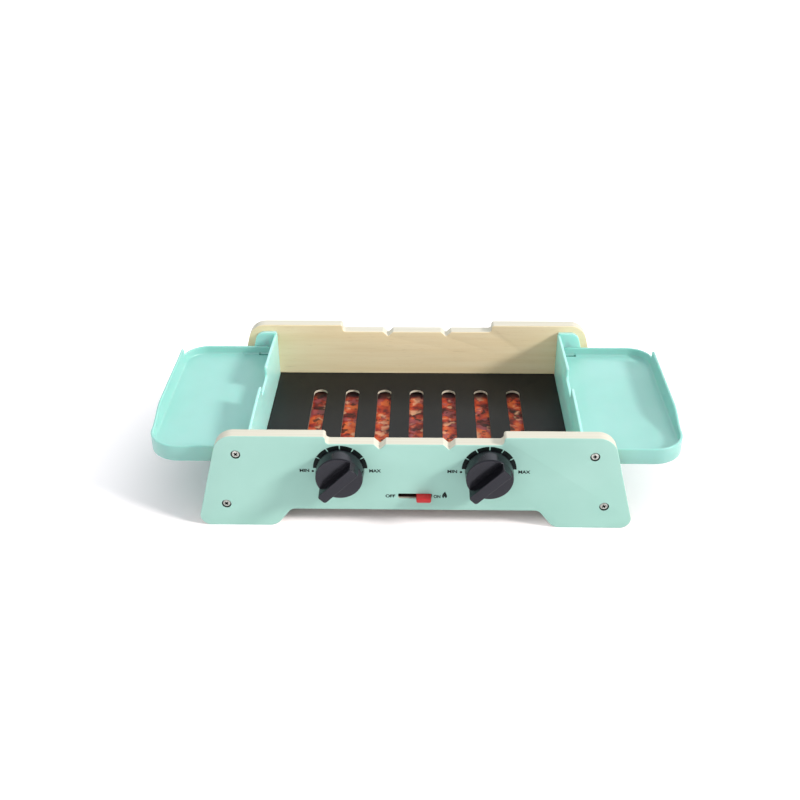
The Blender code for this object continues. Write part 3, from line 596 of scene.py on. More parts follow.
def makePanel(name, faceY, inward, material, hasControls):
    p = panel
    innerY = faceY + inward * p["thickness"]
    middle = planeXZ((faceY + innerY) / 2)
    body = flatSolid(name + "Board", [panelOutline()], p["thickness"], middle, p["edge"], 4)
    cuts = [rodSolid("bore", (side * x, z), faceY - inward * p["past"], faceY + inward * p["headDepth"],
                     p["headBore"]) for side in (-1, 1) for x, z in p["screws"]]
    x, low, high, depth = p["groove"]
    ends = sorted((innerY - inward * depth, innerY + inward * p["past"]))
    cuts.append(boxSolid("groove", (-x, ends[0], low), (x, ends[1], high)))
    if hasControls:
        cuts += [rodSolid("shaftBore", (x, p["knobZ"]), faceY - p["past"], innerY + p["past"],
                          p["shaftBore"]) for x in (-p["knobX"], p["knobX"])]
        cuts.append(flatSolid("switchSlot", [rectangle(*p["slot"])], p["thickness"] + 2 * p["past"], middle))
    combine(body, "DIFFERENCE", *cuts)
    return finished(name, body, material, cuts)


frontPanel = makePanel("frontPanel", panel["frontY"], 1, frontBoard, True)
rearPanel = makePanel("rearPanel", panel["rearY"], -1, rearBoard, False)
place(frontPanel, "base", "front_panel", slot="mint_paint")
place(rearPanel, "base", "rear_panel", slot="mint_paint")
print("panels made")


# Panel screws

screw = {  # the head is radius, height, rim, shank and length, the cross is span, width and depth
    "head": (0.0035, 0.0022, 0.0006, 0.00195, 0.0124), "cross": (0.0036, 0.0013, 0.0016),
    "seat": 0.0026, "twist": 1.5, "seed": 5,
}


def crossShade(finish):  # painted shade: 1 inside the crosses of the panel screws, which are coloured dark
    x, y, z = finish.axes()
    top = (panel["rearY"] - panel["frontY"]) / 2 - screw["seat"] + screw["head"][1]
    inside = abs(y - (panel["frontY"] + panel["rearY"]) / 2) < top - 0.0003
    near = 0.0
    for spot in panel["screws"]:
        near = near + (fromScrew(finish, x, z, spot) < screw["cross"][0] / 2 + 0.0001)
    return inside * near


def screwMesh(name, head, cross):  # head towards -Y, its underside at y 0
    radius, height, rim, shank, length = head
    span, width, depth = cross
    profile = [(0, height), (radius * 0.30, height - rim * 0.03), (radius * 0.62, height - rim * 0.22)]
    profile += [(radius - rim + rim * sine, height - rim * 1.4 + rim * cosine)
                for sine, cosine in quarter(5)]
    profile += [(radius, 0), (shank, 0), (shank, -(length - shank)), (0.0006, -length), (0, -length)]
    item = addObject(name, turnedMesh(name, profile, 40))
    tools = [boxSolid("cross", (-x, -y, height - depth), (x, y, height * 2))
             for x, y in ((width / 2, span / 2), (span / 2, width / 2))]
    combine(item, "DIFFERENCE", *tools)
    mesh = baked(item, *tools)
    mesh.transform(turned(quarterTurn, "X"))
    return smoothed(mesh)


def screwPattern():  # two screws above each other at each end of both panels
    labels = ("Upper X", "Upper Z", "Lower X", "Lower Z", "Front Y", "Rear Y")
    rows = Pattern("screwRows", {**dict.fromkeys(labels, "Float"), "Seed": "Int"})
    upperX, upperZ, lowerX, lowerZ, frontY, rearY = rows.given(*labels)
    index = rows.node("GeometryNodeInputIndex")
    side = (index % 2.0) * 2.0 - 1.0
    row = rows.maths("FLOOR", (index % 4.0) / 2.0)
    face = index > 3.5
    spot = rows.point(side * (upperX + row * (lowerX - upperX)), frontY + face * (rearY - frontY),
                      upperZ + row * (lowerZ - upperZ))
    twist = rows.node("FunctionNodeRandomValue", {"data_type": "FLOAT"}, {
        2: 0.0, 3: screw["twist"], "Seed": rows.given("Seed")}, output=1)
    return rows.close(rows.points(8, spot), rows.given("Geometry"), rows.point(0.0, twist, face * pi))


(upperX, upperZ), (lowerX, lowerZ) = panel["screws"]
screwMetal = metalFinish("screwMetal", crossShade)
headMesh = screwMesh("screwHead", screw["head"], screw["cross"])
panelScrews = addObject("panelScrews", smoothed(screwPattern().run("panelScrews", headMesh, screwMetal, {
    "Upper X": upperX, "Upper Z": upperZ, "Lower X": lowerX, "Lower Z": lowerZ, "Seed": screw["seed"],
    "Front Y": panel["frontY"] + screw["seat"], "Rear Y": panel["rearY"] - screw["seat"]})))
place(panelScrews, "base", *[f"{end}_screw_{index}" for end in ("front", "rear") for index in range(1, 5)],
      slot="zinc_steel")
print("panel screws made")


# Grill plate and ember card

plate = {
    "half": 0.1448, "frontY": -0.08995, "rearY": 0.11695, "top": 0.039, "thickness": 0.003,
    "radius": 0.002, "edge": 0.0005, "slots": 7, "pitch": 0.0328, "slotWidth": 0.0138,
    "slotFront": -0.05275, "slotRear": 0.07975, "middleY": 0.0135, "straight": 0.0594,
}
charcoalPaint = charcoalFinish("charcoalPaint")


def makePlate():
    p = plate
    loops = [rectangle(-p["half"], p["half"], p["frontY"], p["rearY"], p["radius"])]
    half = p["slotWidth"] / 2
    for index in range(p["slots"]):
        center = (index - (p["slots"] - 1) / 2) * p["pitch"]
        loops.append(rectangle(center - half, center + half, p["slotFront"], p["slotRear"], half - 1e-5))
    middle = planeXY(p["top"] - p["thickness"] / 2)
    board = flatSolid("plateBoard", loops, p["thickness"], middle, p["edge"], 3)
    return finished("grillPlate", board, charcoalPaint)


place(makePlate(), "base", "grill_plate", slot="charcoal_paint")

cardLow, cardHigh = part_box("ember_card")
card = {
    "left": cardLow.x, "right": cardHigh.x, "frontY": cardLow.y, "rearY": cardHigh.y,
    "low": cardLow.z, "high": cardHigh.z, "radius": 0.003, "edge": 0.0002,
}
emberPrint = emberFinish("emberPrint")


def makeCard():
    c = card
    loop = rectangle(c["left"], c["right"], c["frontY"], c["rearY"], c["radius"])
    middle = planeXY((c["low"] + c["high"]) / 2)
    return finished("emberCard", flatSolid("cardBoard", [loop], c["high"] - c["low"], middle, c["edge"], 2),
                    emberPrint)


place(makeCard(), "switch", "ember_card", slot="ember_print")
print("plate and card made")


# Switch

slider = {
    "left": 0.0015, "right": 0.0148, "bottom": 0.0313, "top": 0.0361, "reachY": -0.10725, "backY": -0.09055,
    "edge": 0.0017, "stemInset": 0.0012, "stemDrop": 0.0015, "stemY": (-0.0988, -0.08595),
    "coverY": (-0.08695, -0.08495), "coverTop": 0.0357, "tongueHalf": 0.010, "tongueThickness": 0.0021,
    "gap": 0.0003, "screwHead": (0.0024, 0.0014, 0.0004, 0.0012, 0.0040),
    "screwCross": (0.0026, 0.0006, 0.0008), "screwY": -0.07865, "screwApart": 0.012, "screwDrop": 0.0024,
}


def makeSlider():
    s = slider
    low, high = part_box("switch_slider")
    left, right = s["left"], s["right"]
    button = boxSolid("button", (left, s["reachY"], s["bottom"]), (right, s["backY"], s["top"]),
                      s["edge"], 4)
    front, back = s["stemY"]
    stem = boxSolid("stem", (left + s["stemInset"], front, s["bottom"]),
                    (right - s["stemInset"], back, s["top"] - s["stemDrop"]))
    tongueTop = card["low"] - s["gap"]
    middle = (left + right) / 2
    tongue = boxSolid("tongue", (middle - s["tongueHalf"], back, tongueTop - s["tongueThickness"]),
                      (middle + s["tongueHalf"], high.y, tongueTop), 0.0004, 2)
    front, back = s["coverY"]
    cover = boxSolid("cover", (low.x, front, low.z), (high.x, back, s["coverTop"]), 0.0003, 2)
    parts = combine(button, "UNION", stem, cover, tongue)
    return finished("switchSlider", button, redPlastic, parts), middle, tongueTop


def makeSwitchScrews(middle, tongueTop):
    s = slider
    mesh = screwMesh("smallScrew", s["screwHead"], s["screwCross"])
    mesh.transform(turned(quarterTurn, "X"))
    return addObject("switchScrews", smoothed(copyRow.run("switchScrews", mesh, zincMetal, {
        "Count": 2, "Start": (middle - s["screwApart"] / 2, s["screwY"], tongueTop - s["screwDrop"]),
        "Step": (s["screwApart"], 0.0, 0.0)})))


sliderPiece, *sliderSpot = makeSlider()
place(sliderPiece, "switch", "switch_slider", slot="red_plastic")
place(makeSwitchScrews(*sliderSpot), "switch", "switch_screw_left", "switch_screw_right", slot="zinc_steel")
print("switch made")


# Knobs

knob = {
    "standoff": 0.0008, "backRadius": 0.0212, "backEdge": 0.0004, "frontRadius": 0.0206, "disc": 0.016,
    "edge": 0.0013, "hollow": 0.0185, "hub": 0.0065, "face": 0.0035, "shaft": 0.004, "shaftEnd": -0.0123,
    "pilot": 0.0017, "pilotEnd": -0.0033, "reach": 0.027, "gripLong": 0.0215, "gripRim": 0.0205,
    "gripHalf": 0.005, "gripEnd": 0.0026, "gripEdge": 0.0005, "draft": 0.07, "angle": 45.0, "sharp": 40.0,
    "washer": ((0.0068, 0.001), (0.007, 0.0008), (0.007, 0.0002), (0.0068, 0.0),
               (0.0017, 0.0), (0.0017, 0.001)),
    "washerGap": 0.0006, "screwGap": 0.0013, "screwHead": (0.0033, 0.002, 0.0005, 0.0014, 0.0097),
    "screwCross": (0.0036, 0.0008, 0.0010),
}


def knobMesh():
    k = knob
    hollowTop = k["disc"] - k["face"]
    front, top, edge = k["frontRadius"] - k["edge"], k["disc"] - k["edge"], k["edge"]
    profile = [(0, k["disc"]), (k["frontRadius"] * 0.5, k["disc"])]
    profile += [(front + edge * sine, top + edge * cosine) for sine, cosine in quarter(6)]
    profile += [
        (k["backRadius"], k["standoff"] + k["backEdge"]), (k["backRadius"] - k["backEdge"], k["standoff"]),
        (k["hollow"], k["standoff"]), (k["hollow"], hollowTop), (k["hub"], hollowTop),
        (k["hub"], k["standoff"]), (k["shaft"], k["standoff"]), (k["shaft"], k["shaftEnd"]),
        (k["pilot"], k["shaftEnd"]), (k["pilot"], k["pilotEnd"]), (0, k["pilotEnd"])]
    disc = addObject("disc", turnedMesh("disc", profile, 96))
    base = k["disc"] - 0.002
    half = asin(k["gripHalf"] / k["gripRim"])
    corners = [(-k["gripLong"], k["gripHalf"], k["gripEnd"]), (-k["gripLong"], -k["gripHalf"], k["gripEnd"])]
    for part in range(9):  # the short end lies flush with the disc's rim
        angle = half * (part / 4 - 1)
        corners.append((k["gripRim"] * cos(angle), k["gripRim"] * sin(angle), 0))
    middle = planeXY((k["reach"] + base) / 2)
    grip = flatSolid("grip", [rounded(corners)], k["reach"] - base, middle, k["gripEdge"], 5)
    for vertex in grip.data.vertices:
        if vertex.co.z > 0:
            vertex.co.y *= 1 - k["draft"]
    combine(disc, "UNION", grip)
    return smoothed(baked(disc, grip), k["sharp"])


def makeKnobs():
    k = knob
    back = panel["thickness"] + k["washerGap"]
    kinds = (
        ("", "", knobMesh(), turned(quarterTurn, "X") @ turned(radians(k["angle"]), "Z"), blackPlastic,
         "black_plastic", k["sharp"]),
        ("Washer", "_washer", turnedMesh("washer", k["washer"], 56, ring=True),
         shift((0, back, 0)) @ turned(-quarterTurn, "X"), zincMetal, "zinc_steel", sharpAngle),
        ("Screw", "_screw", screwMesh("knobFastener", k["screwHead"], k["screwCross"]),
         shift((0, back + k["screwGap"], 0)) @ turned(pi, "Z"), zincMetal, "zinc_steel", sharpAngle),
    )
    for side, name in ((-1, "left"), (1, "right")):
        axis = shift((side * panel["knobX"], panel["frontY"], panel["knobZ"]))
        for kind, node, mesh, turn, material, slot, sharp in kinds:
            item = addObject("knobShape", mesh.copy(), axis @ turn)
            piece = finished(name + "Knob" + kind, item, material, angle=sharp)
            place(piece, name + "_knob_set", name + "_knob" + node, slot=slot)


makeKnobs()
print("knobs made")


# Side brackets

bracket = {
    "wallX": 0.1451, "wall": 0.0025, "frontY": -0.08695, "rearY": 0.11395,
    "base": 0.010, "baseRadius": 0.0008, "crownEnd": 0.0866, "crownMiddle": 0.0912,
    "notchWidth": 0.0366, "notchFloor": 0.080, "notchRadius": 0.0022, "notchFoot": 0.003,
    "flange": 0.0042, "flangeTop": 0.0888, "flangeInset": 0.0077,
    "flangeStart": 0.0009, "flangeFoot": 0.004, "flangeRadius": 0.0095, "boss": 0.0036, "bossLength": 0.005,
    "pilot": 0.00225, "pilotEnd": 0.0008, "stopX": (0.1653, 0.1705), "stopZ": (0.0535, 0.0577),
    "stopLength": 0.0056, "ledgeTop": 0.0357, "ledge": 0.0016, "ledgeWidth": 0.004,
    "shelfTop": 0.0310, "shelf": 0.0022, "shelfWidth": 0.023, "gussets": 3, "gussetPitch": 0.075,
    "gusset": 0.002, "gussetNose": 0.003, "gussetDepth": 0.015,
    "hinge": (0.1585, 0.0655), "hingeBore": 0.0026, "edge": 0.0006, "overlap": 0.001, "past": 0.002,
}


def sideX(z):
    return panel["baseHalf"] + (panel["topHalf"] - panel["baseHalf"]) * z / panel["height"]


def wallLoop():
    b = bracket
    front, rear = b["frontY"], b["rearY"]
    middle = (front + rear) / 2
    halfLength = (rear - front) / 2
    halfNotch = b["notchWidth"] / 2

    def crown(offset):
        return b["crownEnd"] + (b["crownMiddle"] - b["crownEnd"]) * (1 - (offset / halfLength) ** 2)

    offsets = [halfLength - (halfLength - halfNotch) * part / 12 for part in range(12)]
    half = [(offset, crown(offset), 0) for offset in offsets]
    half += [(halfNotch, crown(halfNotch), b["notchRadius"]), (halfNotch, b["notchFloor"], b["notchFoot"])]
    foot = [(front, b["base"], b["baseRadius"]), (rear, b["base"], b["baseRadius"])]
    return rounded(foot + [(middle + u, v, radius) for u, v, radius in half]
                   + [(middle - u, v, radius) for u, v, radius in reversed(half)])


def flangeSolids(face, inward):  # one end's flange, stop and screw bosses, and the bores through them
    b = bracket
    start, inset = b["wallX"] + b["flangeStart"], b["flangeInset"]
    foot, top = b["base"] + 0.0001, b["flangeTop"]
    loop = rounded([(start, foot, 0), (sideX(b["base"]) - inset, foot, b["flangeFoot"]),
                    (sideX(top) - inset, top, b["flangeRadius"]), (start, top, 0)])
    inner = face + inward * b["flange"]
    parts = [flatSolid("flange", [loop], b["flange"], planeXZ(face + inward * b["flange"] / 2), 0.0005, 3)]
    ends = sorted((inner - inward * b["overlap"], inner + inward * b["stopLength"]))
    corners = zip(b["stopX"], ends, b["stopZ"])
    parts.append(boxSolid("stop", *corners, 0.0004, 2))
    cuts = []
    for spot in panel["screws"]:
        parts.append(rodSolid("boss", spot, face + inward * b["overlap"], face - inward * b["bossLength"],
                              b["boss"]))
        cuts.append(rodSolid("pilot", spot, face - inward * (b["bossLength"] + b["past"]),
                             inner - inward * b["pilotEnd"], b["pilot"]))
    cuts.append(rodSolid("hingeBore", b["hinge"], face - inward * b["past"], inner + inward * b["past"],
                         b["hingeBore"]))
    return parts, cuts


def railSolid(name, width, thickness, top, edge):  # a rail that runs along the inner side of the wall
    b = bracket
    return boxSolid(name, (b["wallX"] - width, b["frontY"] + 0.0001, top - thickness),
                    (b["wallX"] + b["overlap"], b["rearY"] - 0.0001, top), edge, 2)


def gussetRow():
    b = bracket
    low = b["shelfTop"] - b["shelf"]
    inner, nose = b["wallX"] + b["overlap"], b["wallX"] - b["shelfWidth"] + b["gussetNose"]
    loop = [Vector(spot) for spot in (
        (inner, low + b["overlap"]), (nose, low + b["overlap"]), (nose, low - b["gussetNose"]),
        (b["wallX"], low - b["gussetDepth"]), (inner, low - b["gussetDepth"]))]
    gusset = finished("gusset", flatSolid("gussetShape", [loop], b["gusset"], planeXZ(0)), wallPlastic)
    middle, pitch = (b["frontY"] + b["rearY"]) / 2, b["gussetPitch"]
    row = copyRow.run("gussets", gusset.data, wallPlastic, {
        "Count": b["gussets"], "Start": (0.0, middle - pitch, 0.0), "Step": (0.0, pitch, 0.0)})
    bpy.data.objects.remove(gusset)
    return addObject("gussets", row)


def makeBracket():
    b = bracket
    wall = flatSolid("wall", [wallLoop()], b["wall"], planeYZ(b["wallX"] + b["wall"] / 2), b["edge"], 3)
    frontParts, frontCuts = flangeSolids(b["frontY"], 1)
    rearParts, rearCuts = flangeSolids(b["rearY"], -1)
    parts = [*frontParts, *rearParts, railSolid("shelf", b["shelfWidth"], b["shelf"], b["shelfTop"], 0.0004),
             railSolid("ledge", b["ledgeWidth"], b["ledge"], b["ledgeTop"], 0.0003), gussetRow()]
    cuts = frontCuts + rearCuts
    combine(wall, "UNION", *parts)
    combine(wall, "DIFFERENCE", *cuts)
    return finished("rightBracket", wall, wallPlastic, parts + cuts)


rightBracket = makeBracket()
leftBracket = otherHand("leftBracket", rightBracket)
place(rightBracket, "base", "right_bracket", slot="mint_plastic")
place(leftBracket, "base", "left_bracket", slot="mint_plastic")
print("brackets made")


# Side trays

tray = {
    "innerX": 0.1513, "outerX": 0.2405, "frontY": -0.08225, "rearY": 0.10925, "frontRadius": 0.029,
    "rearRadius": 0.0243, "bottom": 0.058, "rim": 0.0737, "grip": 0.082, "wall": 0.0024, "floor": 0.0655,
    "floorThickness": 0.0023, "endRadius": 0.005, "rimRound": 0.0009, "fillet": 0.0021, "foot": 0.0005,
    "slopeStart": 0.066, "slopeEnd": 0.030, "stepInset": 0.0230, "stepRound": 0.0012,
    "slitWidth": 0.0019, "slitInset": 0.0010, "slitLength": 0.0132, "slitZ": (0.056, 0.0678),
    "pin": 0.0025, "pinLength": 0.0036, "pinTip": 0.0008, "rib": 0.0016,
    "ribFront": 0.0012, "ribFoot": 0.0003, "ribTop": 0.0013,
}


def slitShade(finish):  # painted shade: 1 inside the slits beside the hinge tongues, whose cut walls are coloured dark
    t = tray
    x, y, z = finish.axes()
    away = abs(y - (t["frontY"] + t["rearY"]) / 2)
    edge = (t["rearY"] - t["frontY"]) / 2 - t["wall"] - t["slitInset"]
    end = t["innerX"] + t["slitLength"]
    around = abs(x) > end - t["slitWidth"] - 0.0002
    within = (away > edge - t["slitWidth"] - 0.0002) * (away < edge + 0.0002 + around * t["slitInset"])
    under = t["floor"] - t["floorThickness"]
    return within * (abs(x) < end + 0.0005) * (z < t["floor"] - 0.0001) * (z > under - 0.0001)


mintPlastic = mouldedFinish("mintPlastic", (152, 205, 198), (145, 201, 192), 0.34, constants="thinMint",
                            shadedGaps=slitShade)


def trayStations():  # (x, y, inward x, inward y, rim height, skirt bottom) round the open rim
    t = tray
    inner, outer, front, rear = t["innerX"], t["outerX"], t["frontY"], t["rearY"]
    rim, grip, bottom = t["rim"], t["grip"], t["bottom"]
    r = t["endRadius"]

    def ends(dx):
        rise = r - sqrt(r * r - (r - dx) ** 2) if dx < r else 0.0
        return rim - rise, bottom + rise

    endSteps = [0, 0.0003, 0.0008, 0.0015, t["wall"], 0.0036, r, 0.010, 0.020, 0.034]
    radius = t["frontRadius"]
    stations = [(inner + dx, front, 0, 1, *ends(dx)) for dx in endSteps + [outer - radius - inner]]
    stations += [
        (outer - radius + radius * sine, front + radius - radius * cosine, -sine, cosine, rim, bottom)
        for sine, cosine in quarter(12)[1:]]
    start, end = front + t["slopeEnd"], front + t["slopeStart"]
    for part in range(17):
        share = part / 16
        eased = share * share * (3 - 2 * share)
        stations.append((outer, start + (end - start) * share, -1, 0, rim + (grip - rim) * eased, bottom))
    stations += [(outer, y, -1, 0, grip, bottom) for y in (0.001, 0.031, 0.061)]
    step, turn = rear - t["stepInset"], t["stepRound"]
    stations += [(outer, step - turn + turn * sine, -1, 0, grip - turn + turn * cosine, bottom)
                 for sine, cosine in quarter(5)]
    stations.append((outer, step + 0.00002, -1, 0, rim, bottom))
    radius = t["rearRadius"]
    for sine, cosine in quarter(12):
        y = rear - radius + radius * sine
        if y >= step + 0.0001:
            stations.append((outer - radius + radius * cosine, y, -cosine, -sine, rim, bottom))
    stations += [(inner + dx, rear, 0, -1, *ends(dx)) for dx in reversed(endSteps)]
    return stations, endSteps.index(t["wall"])


def traySection(rim, low):  # (inset, z) from the foot of the skirt over the rim to the floor
    t = tray
    wall, foot, r, f = t["wall"], t["foot"], t["rimRound"], t["fillet"]
    section = [(wall, low + foot * 0.3), (wall - foot * 0.3, low), (foot, low),
               (foot * 0.3, low + foot * 0.3), (0, low + foot)]
    section += [(r - r * cosine, rim - r + r * sine) for sine, cosine in quarter(4)]
    section += [(wall - r + r * sine, rim - r + r * cosine) for sine, cosine in quarter(4)]
    section += [(wall + f - f * cosine, t["floor"] + f - f * sine) for sine, cosine in quarter(5)]
    return section


def trayShell():
    stations, wallIndex = trayStations()
    shape = bmesh.new()
    rings = [[shape.verts.new((x + nx * inset, y + ny * inset, z)) for inset, z in traySection(rim, low)]
             for x, y, nx, ny, rim, low in stations]
    for first, second in zip(rings, rings[1:]):
        for a, b, c, d in zip(first, first[1:], second[1:], second):
            shape.faces.new((a, d, c, b))
    shape.faces.new([ring[-1] for ring in rings])
    # the strip under the end wall, then the hollow below the floor
    for index in range(wallIndex):
        near, far = rings[index], rings[index + 1]
        near2, far2 = rings[-1 - index], rings[-2 - index]
        shape.faces.new((near[0], far[0], far2[0], near2[0]))
    under = tray["floor"] - tray["floorThickness"]
    skirt = [ring[0] for ring in rings[wallIndex:-wallIndex]]
    roof = [shape.verts.new((vertex.co.x, vertex.co.y, under)) for vertex in skirt]
    for corners in zip(skirt, skirt[1:] + skirt[:1], roof[1:] + roof[:1], roof):
        shape.faces.new(corners)
    shape.faces.new(roof)
    shape.faces.new(rings[0][::-1] + rings[-1])

    def mend(shape):
        bmesh.ops.dissolve_degenerate(shape, dist=1e-6, edges=shape.edges)

    return addObject("trayShell", closed("trayShell", shape, 2e-6, mend))


def makeTray():
    t = tray
    inner, end, hinge, pin = t["innerX"], t["innerX"] + t["slitLength"], bracket["hinge"], t["pin"]
    bottom, top = t["slitZ"]
    shell = trayShell()
    cuts, pins = [], []
    for face, outward in ((t["frontY"], -1), (t["rearY"], 1)):
        near = face - outward * (t["wall"] + t["slitInset"])
        far = near - outward * t["slitWidth"]
        low, high = sorted((near, far))
        cuts.append(boxSolid("slit", (inner - 0.002, low, bottom), (end, high, top)))
        low, high = sorted((far, face - outward * t["wall"]))
        cuts.append(boxSolid("slitEnd", (end - t["slitWidth"], low, bottom), (end + 0.0003, high, top)))
        tip = t["pinLength"] - t["pinTip"]
        pins.append(rodSolid("pin", hinge, face - outward * 0.001, face + outward * tip, pin))
        pins.append(rodSolid("pinTip", hinge, face + outward * (tip - 0.0002),
                             face + outward * t["pinLength"], pin, pin - t["pinTip"]))
    combine(shell, "DIFFERENCE", *cuts)
    half = t["rib"] / 2
    rib = boxSolid("rib", (-half, t["frontY"] + t["ribFront"], t["bottom"] + t["ribFoot"]),
                   (half, t["rearY"] - t["ribFront"], t["floor"] - t["ribTop"]))
    pitch = (t["outerX"] - inner) / 3
    ribs = addObject("ribs", copyRow.run("ribs", baked(rib), mintPlastic, {
        "Count": 2, "Start": (inner + pitch + half, 0.0, 0.0), "Step": (pitch, 0.0, 0.0)}))
    return joined("rightTray", [finished("shell", shell, mintPlastic, cuts), ribs] + pins, mintPlastic)


rightTray = makeTray()
leftTray = otherHand("leftTray", rightTray)
place(rightTray, "right_tray_body", "right_tray", slot="mint_plastic")
place(leftTray, "left_tray_body", "left_tray", slot="mint_plastic")
print("trays made")


# Printed scales and words on the front panel

signs = {
    "lift": 0.00003, "thick": 0.00004, "outer": 0.0239, "inner": 0.0200, "parts": 6, "gap": 2.6,
    "words": (("MIN", -0.0965, 0.0603, 1.14), ("MAX", -0.0348, 0.0603, 1.10), ("MIN", 0.0330, 0.0603, 1.14),
              ("MAX", 0.0955, 0.0603, 1.10), ("OFF", -0.0215, 0.0335, 1.14), ("ON", 0.0200, 0.0333, 0.90)),
    "size": 0.0043, "bold": 0.00017, "dots": ((-0.0892, 0.0599), (0.0406, 0.0599)), "dotRadius": 0.0011,
    "flame": (0.0266, 0.0352), "flameHeight": 0.0072, "flameParts": 60, "flameWidth": 0.40,
    "flameTaper": 1.1, "flameLean": 0.05, "flameArch": 0.28, "archHalf": 0.12,
}
darkInk = inkFinish("darkInk")


def scalePattern():  # two half rings of short bent bars, each bar a block bent about a knob's axis
    labels = ("Outer", "Inner", "Gap", "Thick", "Center X", "Center Z", "Face Y")
    arc = Pattern("scaleArcs", {"Parts": "Int", **dict.fromkeys(labels, "Float")})
    outer, inner, gap, thick, centerX, centerZ, faceY = arc.given(*labels)
    parts = arc.given("Parts")
    block = arc.node("GeometryNodeMeshCube", None, {"Size": (1.0, 1.0, 1.0), "Vertices X": 13})
    across, up, through = arc.axes(arc.node("GeometryNodeInputPosition"))
    width = arc.maths("DIVIDE", pi, parts)
    angle = across * (width - gap) + width * 0.5
    radius = inner + (up + 0.5) * (outer - inner)
    spot = arc.point(radius * arc.maths("COSINE", angle), through * thick, radius * arc.maths("SINE", angle))
    bent = arc.node("GeometryNodeSetPosition", None, {"Geometry": block, "Position": spot})
    index = arc.node("GeometryNodeInputIndex")
    side = (index % 2.0) * 2.0 - 1.0
    turn = arc.point(0.0, arc.maths("FLOOR", index / 2.0) * width * -1.0, 0.0)
    points = arc.points(parts * 2.0, arc.point(side * centerX, faceY, centerZ))
    return arc.close(points, arc.node("GeometryNodeFlipFaces", None, {"Mesh": bent}), turn)


def wordSolid(text, x, z, stretch):
    s = signs
    words = bpy.data.curves.new("word", "FONT")
    words.body = text
    words.size = s["size"]
    words.align_x = "CENTER"
    words.align_y = "CENTER"
    words.offset = s["bold"]
    words.extrude = s["thick"] / 2
    mesh = baked(addObject("word", words))
    mesh.transform(planeXZ(panel["frontY"] - s["lift"]) @ shift((x, z, 0)) @ Matrix.Diagonal(
        (stretch, 1, 1, 1)))
    shape = bmesh.new()
    shape.from_mesh(mesh)
    return addObject("word", closed("word", shape, 1e-7))


def flameSolid():  # a drop with its tip bent to one side and an arch cut out below
    s = signs
    x, z = s["flame"]
    height = s["flameHeight"]
    outline = []
    for part in range(s["flameParts"]):
        angle = 2 * pi * part / s["flameParts"]
        across = s["flameWidth"] * sin(angle) * sin(angle / 2) ** s["flameTaper"]
        lift = cos(angle)
        arch = s["flameArch"] * max(0.0, 1 - (across / s["archHalf"]) ** 2) if lift < -0.4 else 0.0
        lean = s["flameLean"] * max(lift, 0) ** 2
        outline.append(Vector((x + height * (across + lean), z + height * (0.5 * lift + arch))))
    return flatSolid("flame", [outline], s["thick"], planeXZ(panel["frontY"] - s["lift"]))


def makeSigns():
    s = signs
    y = panel["frontY"] - s["lift"]
    front, back = y - s["thick"] / 2, y + s["thick"] / 2
    arcs = scalePattern().run("arcs", bpy.data.meshes.new("arcSeed"), darkInk, {
        "Parts": s["parts"], "Outer": s["outer"], "Inner": s["inner"], "Gap": radians(s["gap"]),
        "Thick": s["thick"], "Center X": panel["knobX"], "Center Z": panel["knobZ"], "Face Y": y})
    items = [addObject("arcs", arcs)] + [wordSolid(*word) for word in s["words"]]
    items += [rodSolid("dot", spot, front, back, s["dotRadius"], sides=20) for spot in s["dots"]]
    return joined("panelSigns", items + [flameSolid()], darkInk)


place(makeSigns(), "base", slot="black_plastic")
print("signs made")


# Floor, lamps and camera

studio = {
    "floorHalf": 6.0, "paper": 0.75, "farPaper": 0.30, "paperRange": (0.5, 1.6),
    "seenPaper": (1.0, 0.94, 0.96, 1.0), "lift": 0.42, "liftLow": 0.05, "liftRange": (0.23, 0.42),
    "liftAhead": 0.30, "aheadY": (-0.100, -0.078), "aheadX": (0.15, 0.20),
    "wallReach": 4.0, "wallHeight": 2.6, "sky": (0.94, 0.985, 1.0, 1.0), "skyLow": 0.04, "skyHigh": 0.46,
    "glows": (((-0.40, -0.76, 0.48), 2.0, 0.72), ((-0.95, 0.05, 0.30), 3.0, 0.52),
              ((0.95, 0.15, 0.35), 3.0, 0.55), ((0.22, 0.82, 0.50), 9.0, 2.10)),
    "sun": 2.75, "sunColor": (1.0, 0.965, 0.93), "softness": 11.0, "toSun": (1.0, -0.36, 0.61),
}


def showInstead(finish, plain, shown):  # another look for the rays that show the background
    kinds = ("Is Camera Ray", "Is Glossy Ray", "Is Transmission Ray")
    seen, glossy, through = [finish.node("ShaderNodeLightPath", output=kind) for kind in kinds]
    rays = finish.maths("MINIMUM", seen + glossy + through, 1.0)
    chosen = finish.node("ShaderNodeMixShader", None, {0: rays, 1: plain, 2: shown})
    finish.feed(finish.tree.nodes["Material Output"].inputs["Surface"], chosen)
    return finish.material


def paperFinish():
    s = studio
    paper = Finish("floorPaper", {"Roughness": 0.9, "Specular IOR Level": 0.2})
    away = paper.vectors("LENGTH", paper.place)
    shade = paper.slope(away, *s["paperRange"], s["paper"], s["farPaper"])
    paper.feed(paper.shader.inputs["Base Color"], shade)
    white = paper.node("ShaderNodeBsdfDiffuse", None, {"Color": s["seenPaper"]})
    x, y, z = paper.axes()
    ahead = paper.slope(y, *s["aheadY"], s["liftAhead"], 0.0) * paper.slope(abs(x), *s["aheadX"], 1.0, 0.0)
    # painted light: emission seen by the camera makes the floor paler right before the front panel and,
    # rising with distance, fades the object's shadow
    raised = paper.slope(away, *s["liftRange"], s["liftLow"], s["lift"]) + ahead
    lift = paper.node("ShaderNodeEmission", None, {"Color": raised})
    bright = paper.node("ShaderNodeAddShader", None, {0: white, 1: lift})
    return showInstead(paper, Wire(paper, paper.shader.outputs[0]), bright)


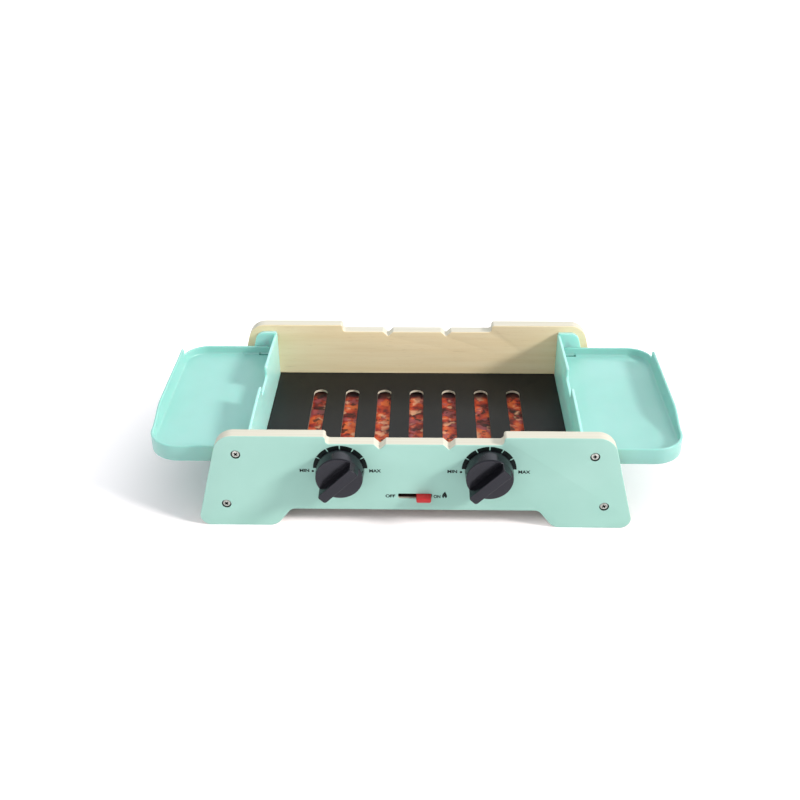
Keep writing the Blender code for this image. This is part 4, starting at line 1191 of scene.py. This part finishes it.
def clothFinish():
    cloth = Finish("backdropCloth", {"Roughness": 0.9})
    white = cloth.node("ShaderNodeEmission", None, {"Color": (1.0, 1.0, 1.0, 1.0)})
    return showInstead(cloth, cloth.node("ShaderNodeBsdfTransparent"), white)


def makeSky():
    s = studio
    world = bpy.data.worlds.new("studio")
    bpy.context.scene.world = world
    world.use_nodes = True
    sky = Graph(world.node_tree)
    way = sky.node("ShaderNodeTexCoord", output="Generated")
    height = sky.axes(way)[2]
    strength = s["skyLow"] + sky.maths("MAXIMUM", height, 0.0) * s["skyHigh"]
    for toGlow, narrow, power in s["glows"]:
        facing = sky.vectors("DOT_PRODUCT", way, Vector(toGlow).normalized())
        strength = strength + sky.maths("POWER", sky.maths("MAXIMUM", facing, 0.0), narrow) * power
    background = world.node_tree.nodes["Background"]
    background.inputs["Color"].default_value = s["sky"]
    sky.feed(background.inputs["Strength"], strength)


def makeStudio():
    s = studio
    shape = bmesh.new()
    bmesh.ops.create_grid(shape, x_segments=1, y_segments=1, size=s["floorHalf"])
    sheet = settled("floor", shape)
    sheet.materials.append(paperFinish())
    floor = addObject("floor", sheet)
    wall = turnedMesh("backdrop", [(s["wallReach"], 0), (s["wallReach"], s["wallHeight"])], 64)
    wall.materials.append(clothFinish())
    addObject("backdrop", wall)
    makeSky()
    lamp = bpy.data.lights.new("sun", "SUN")
    lamp.energy = s["sun"]
    lamp.color = s["sunColor"]
    lamp.angle = radians(s["softness"])
    item = addObject("sun", lamp)
    item.rotation_euler = Vector(s["toSun"]).to_track_quat("Z", "Y").to_euler()


view = {
    "right": (0.99968272, 0.0240898, -0.00735744), "up": (-0.00599414, 0.51122869, 0.85942382),
    "ahead": (-0.02446469, 0.85910704, -0.51121089), "spot": (0.009207, -0.850585, 0.579935),
    "lens": 46.894, "film": 36.0,
}


def makeCamera():  # where the photo was taken from, worked out from the panels' straight edges
    camera = bpy.data.cameras.new("camera")
    camera.lens = view["lens"]
    camera.sensor_width = view["film"]
    turn = Matrix((Vector(view["right"]), Vector(view["up"]), -Vector(view["ahead"]))).transposed().to_4x4()
    item = addObject("camera", camera, shift(view["spot"]) @ turn)
    bpy.context.scene.camera = item


makeStudio()
makeCamera()
bpy.context.scene.view_settings.view_transform = "Standard"
print("studio made")
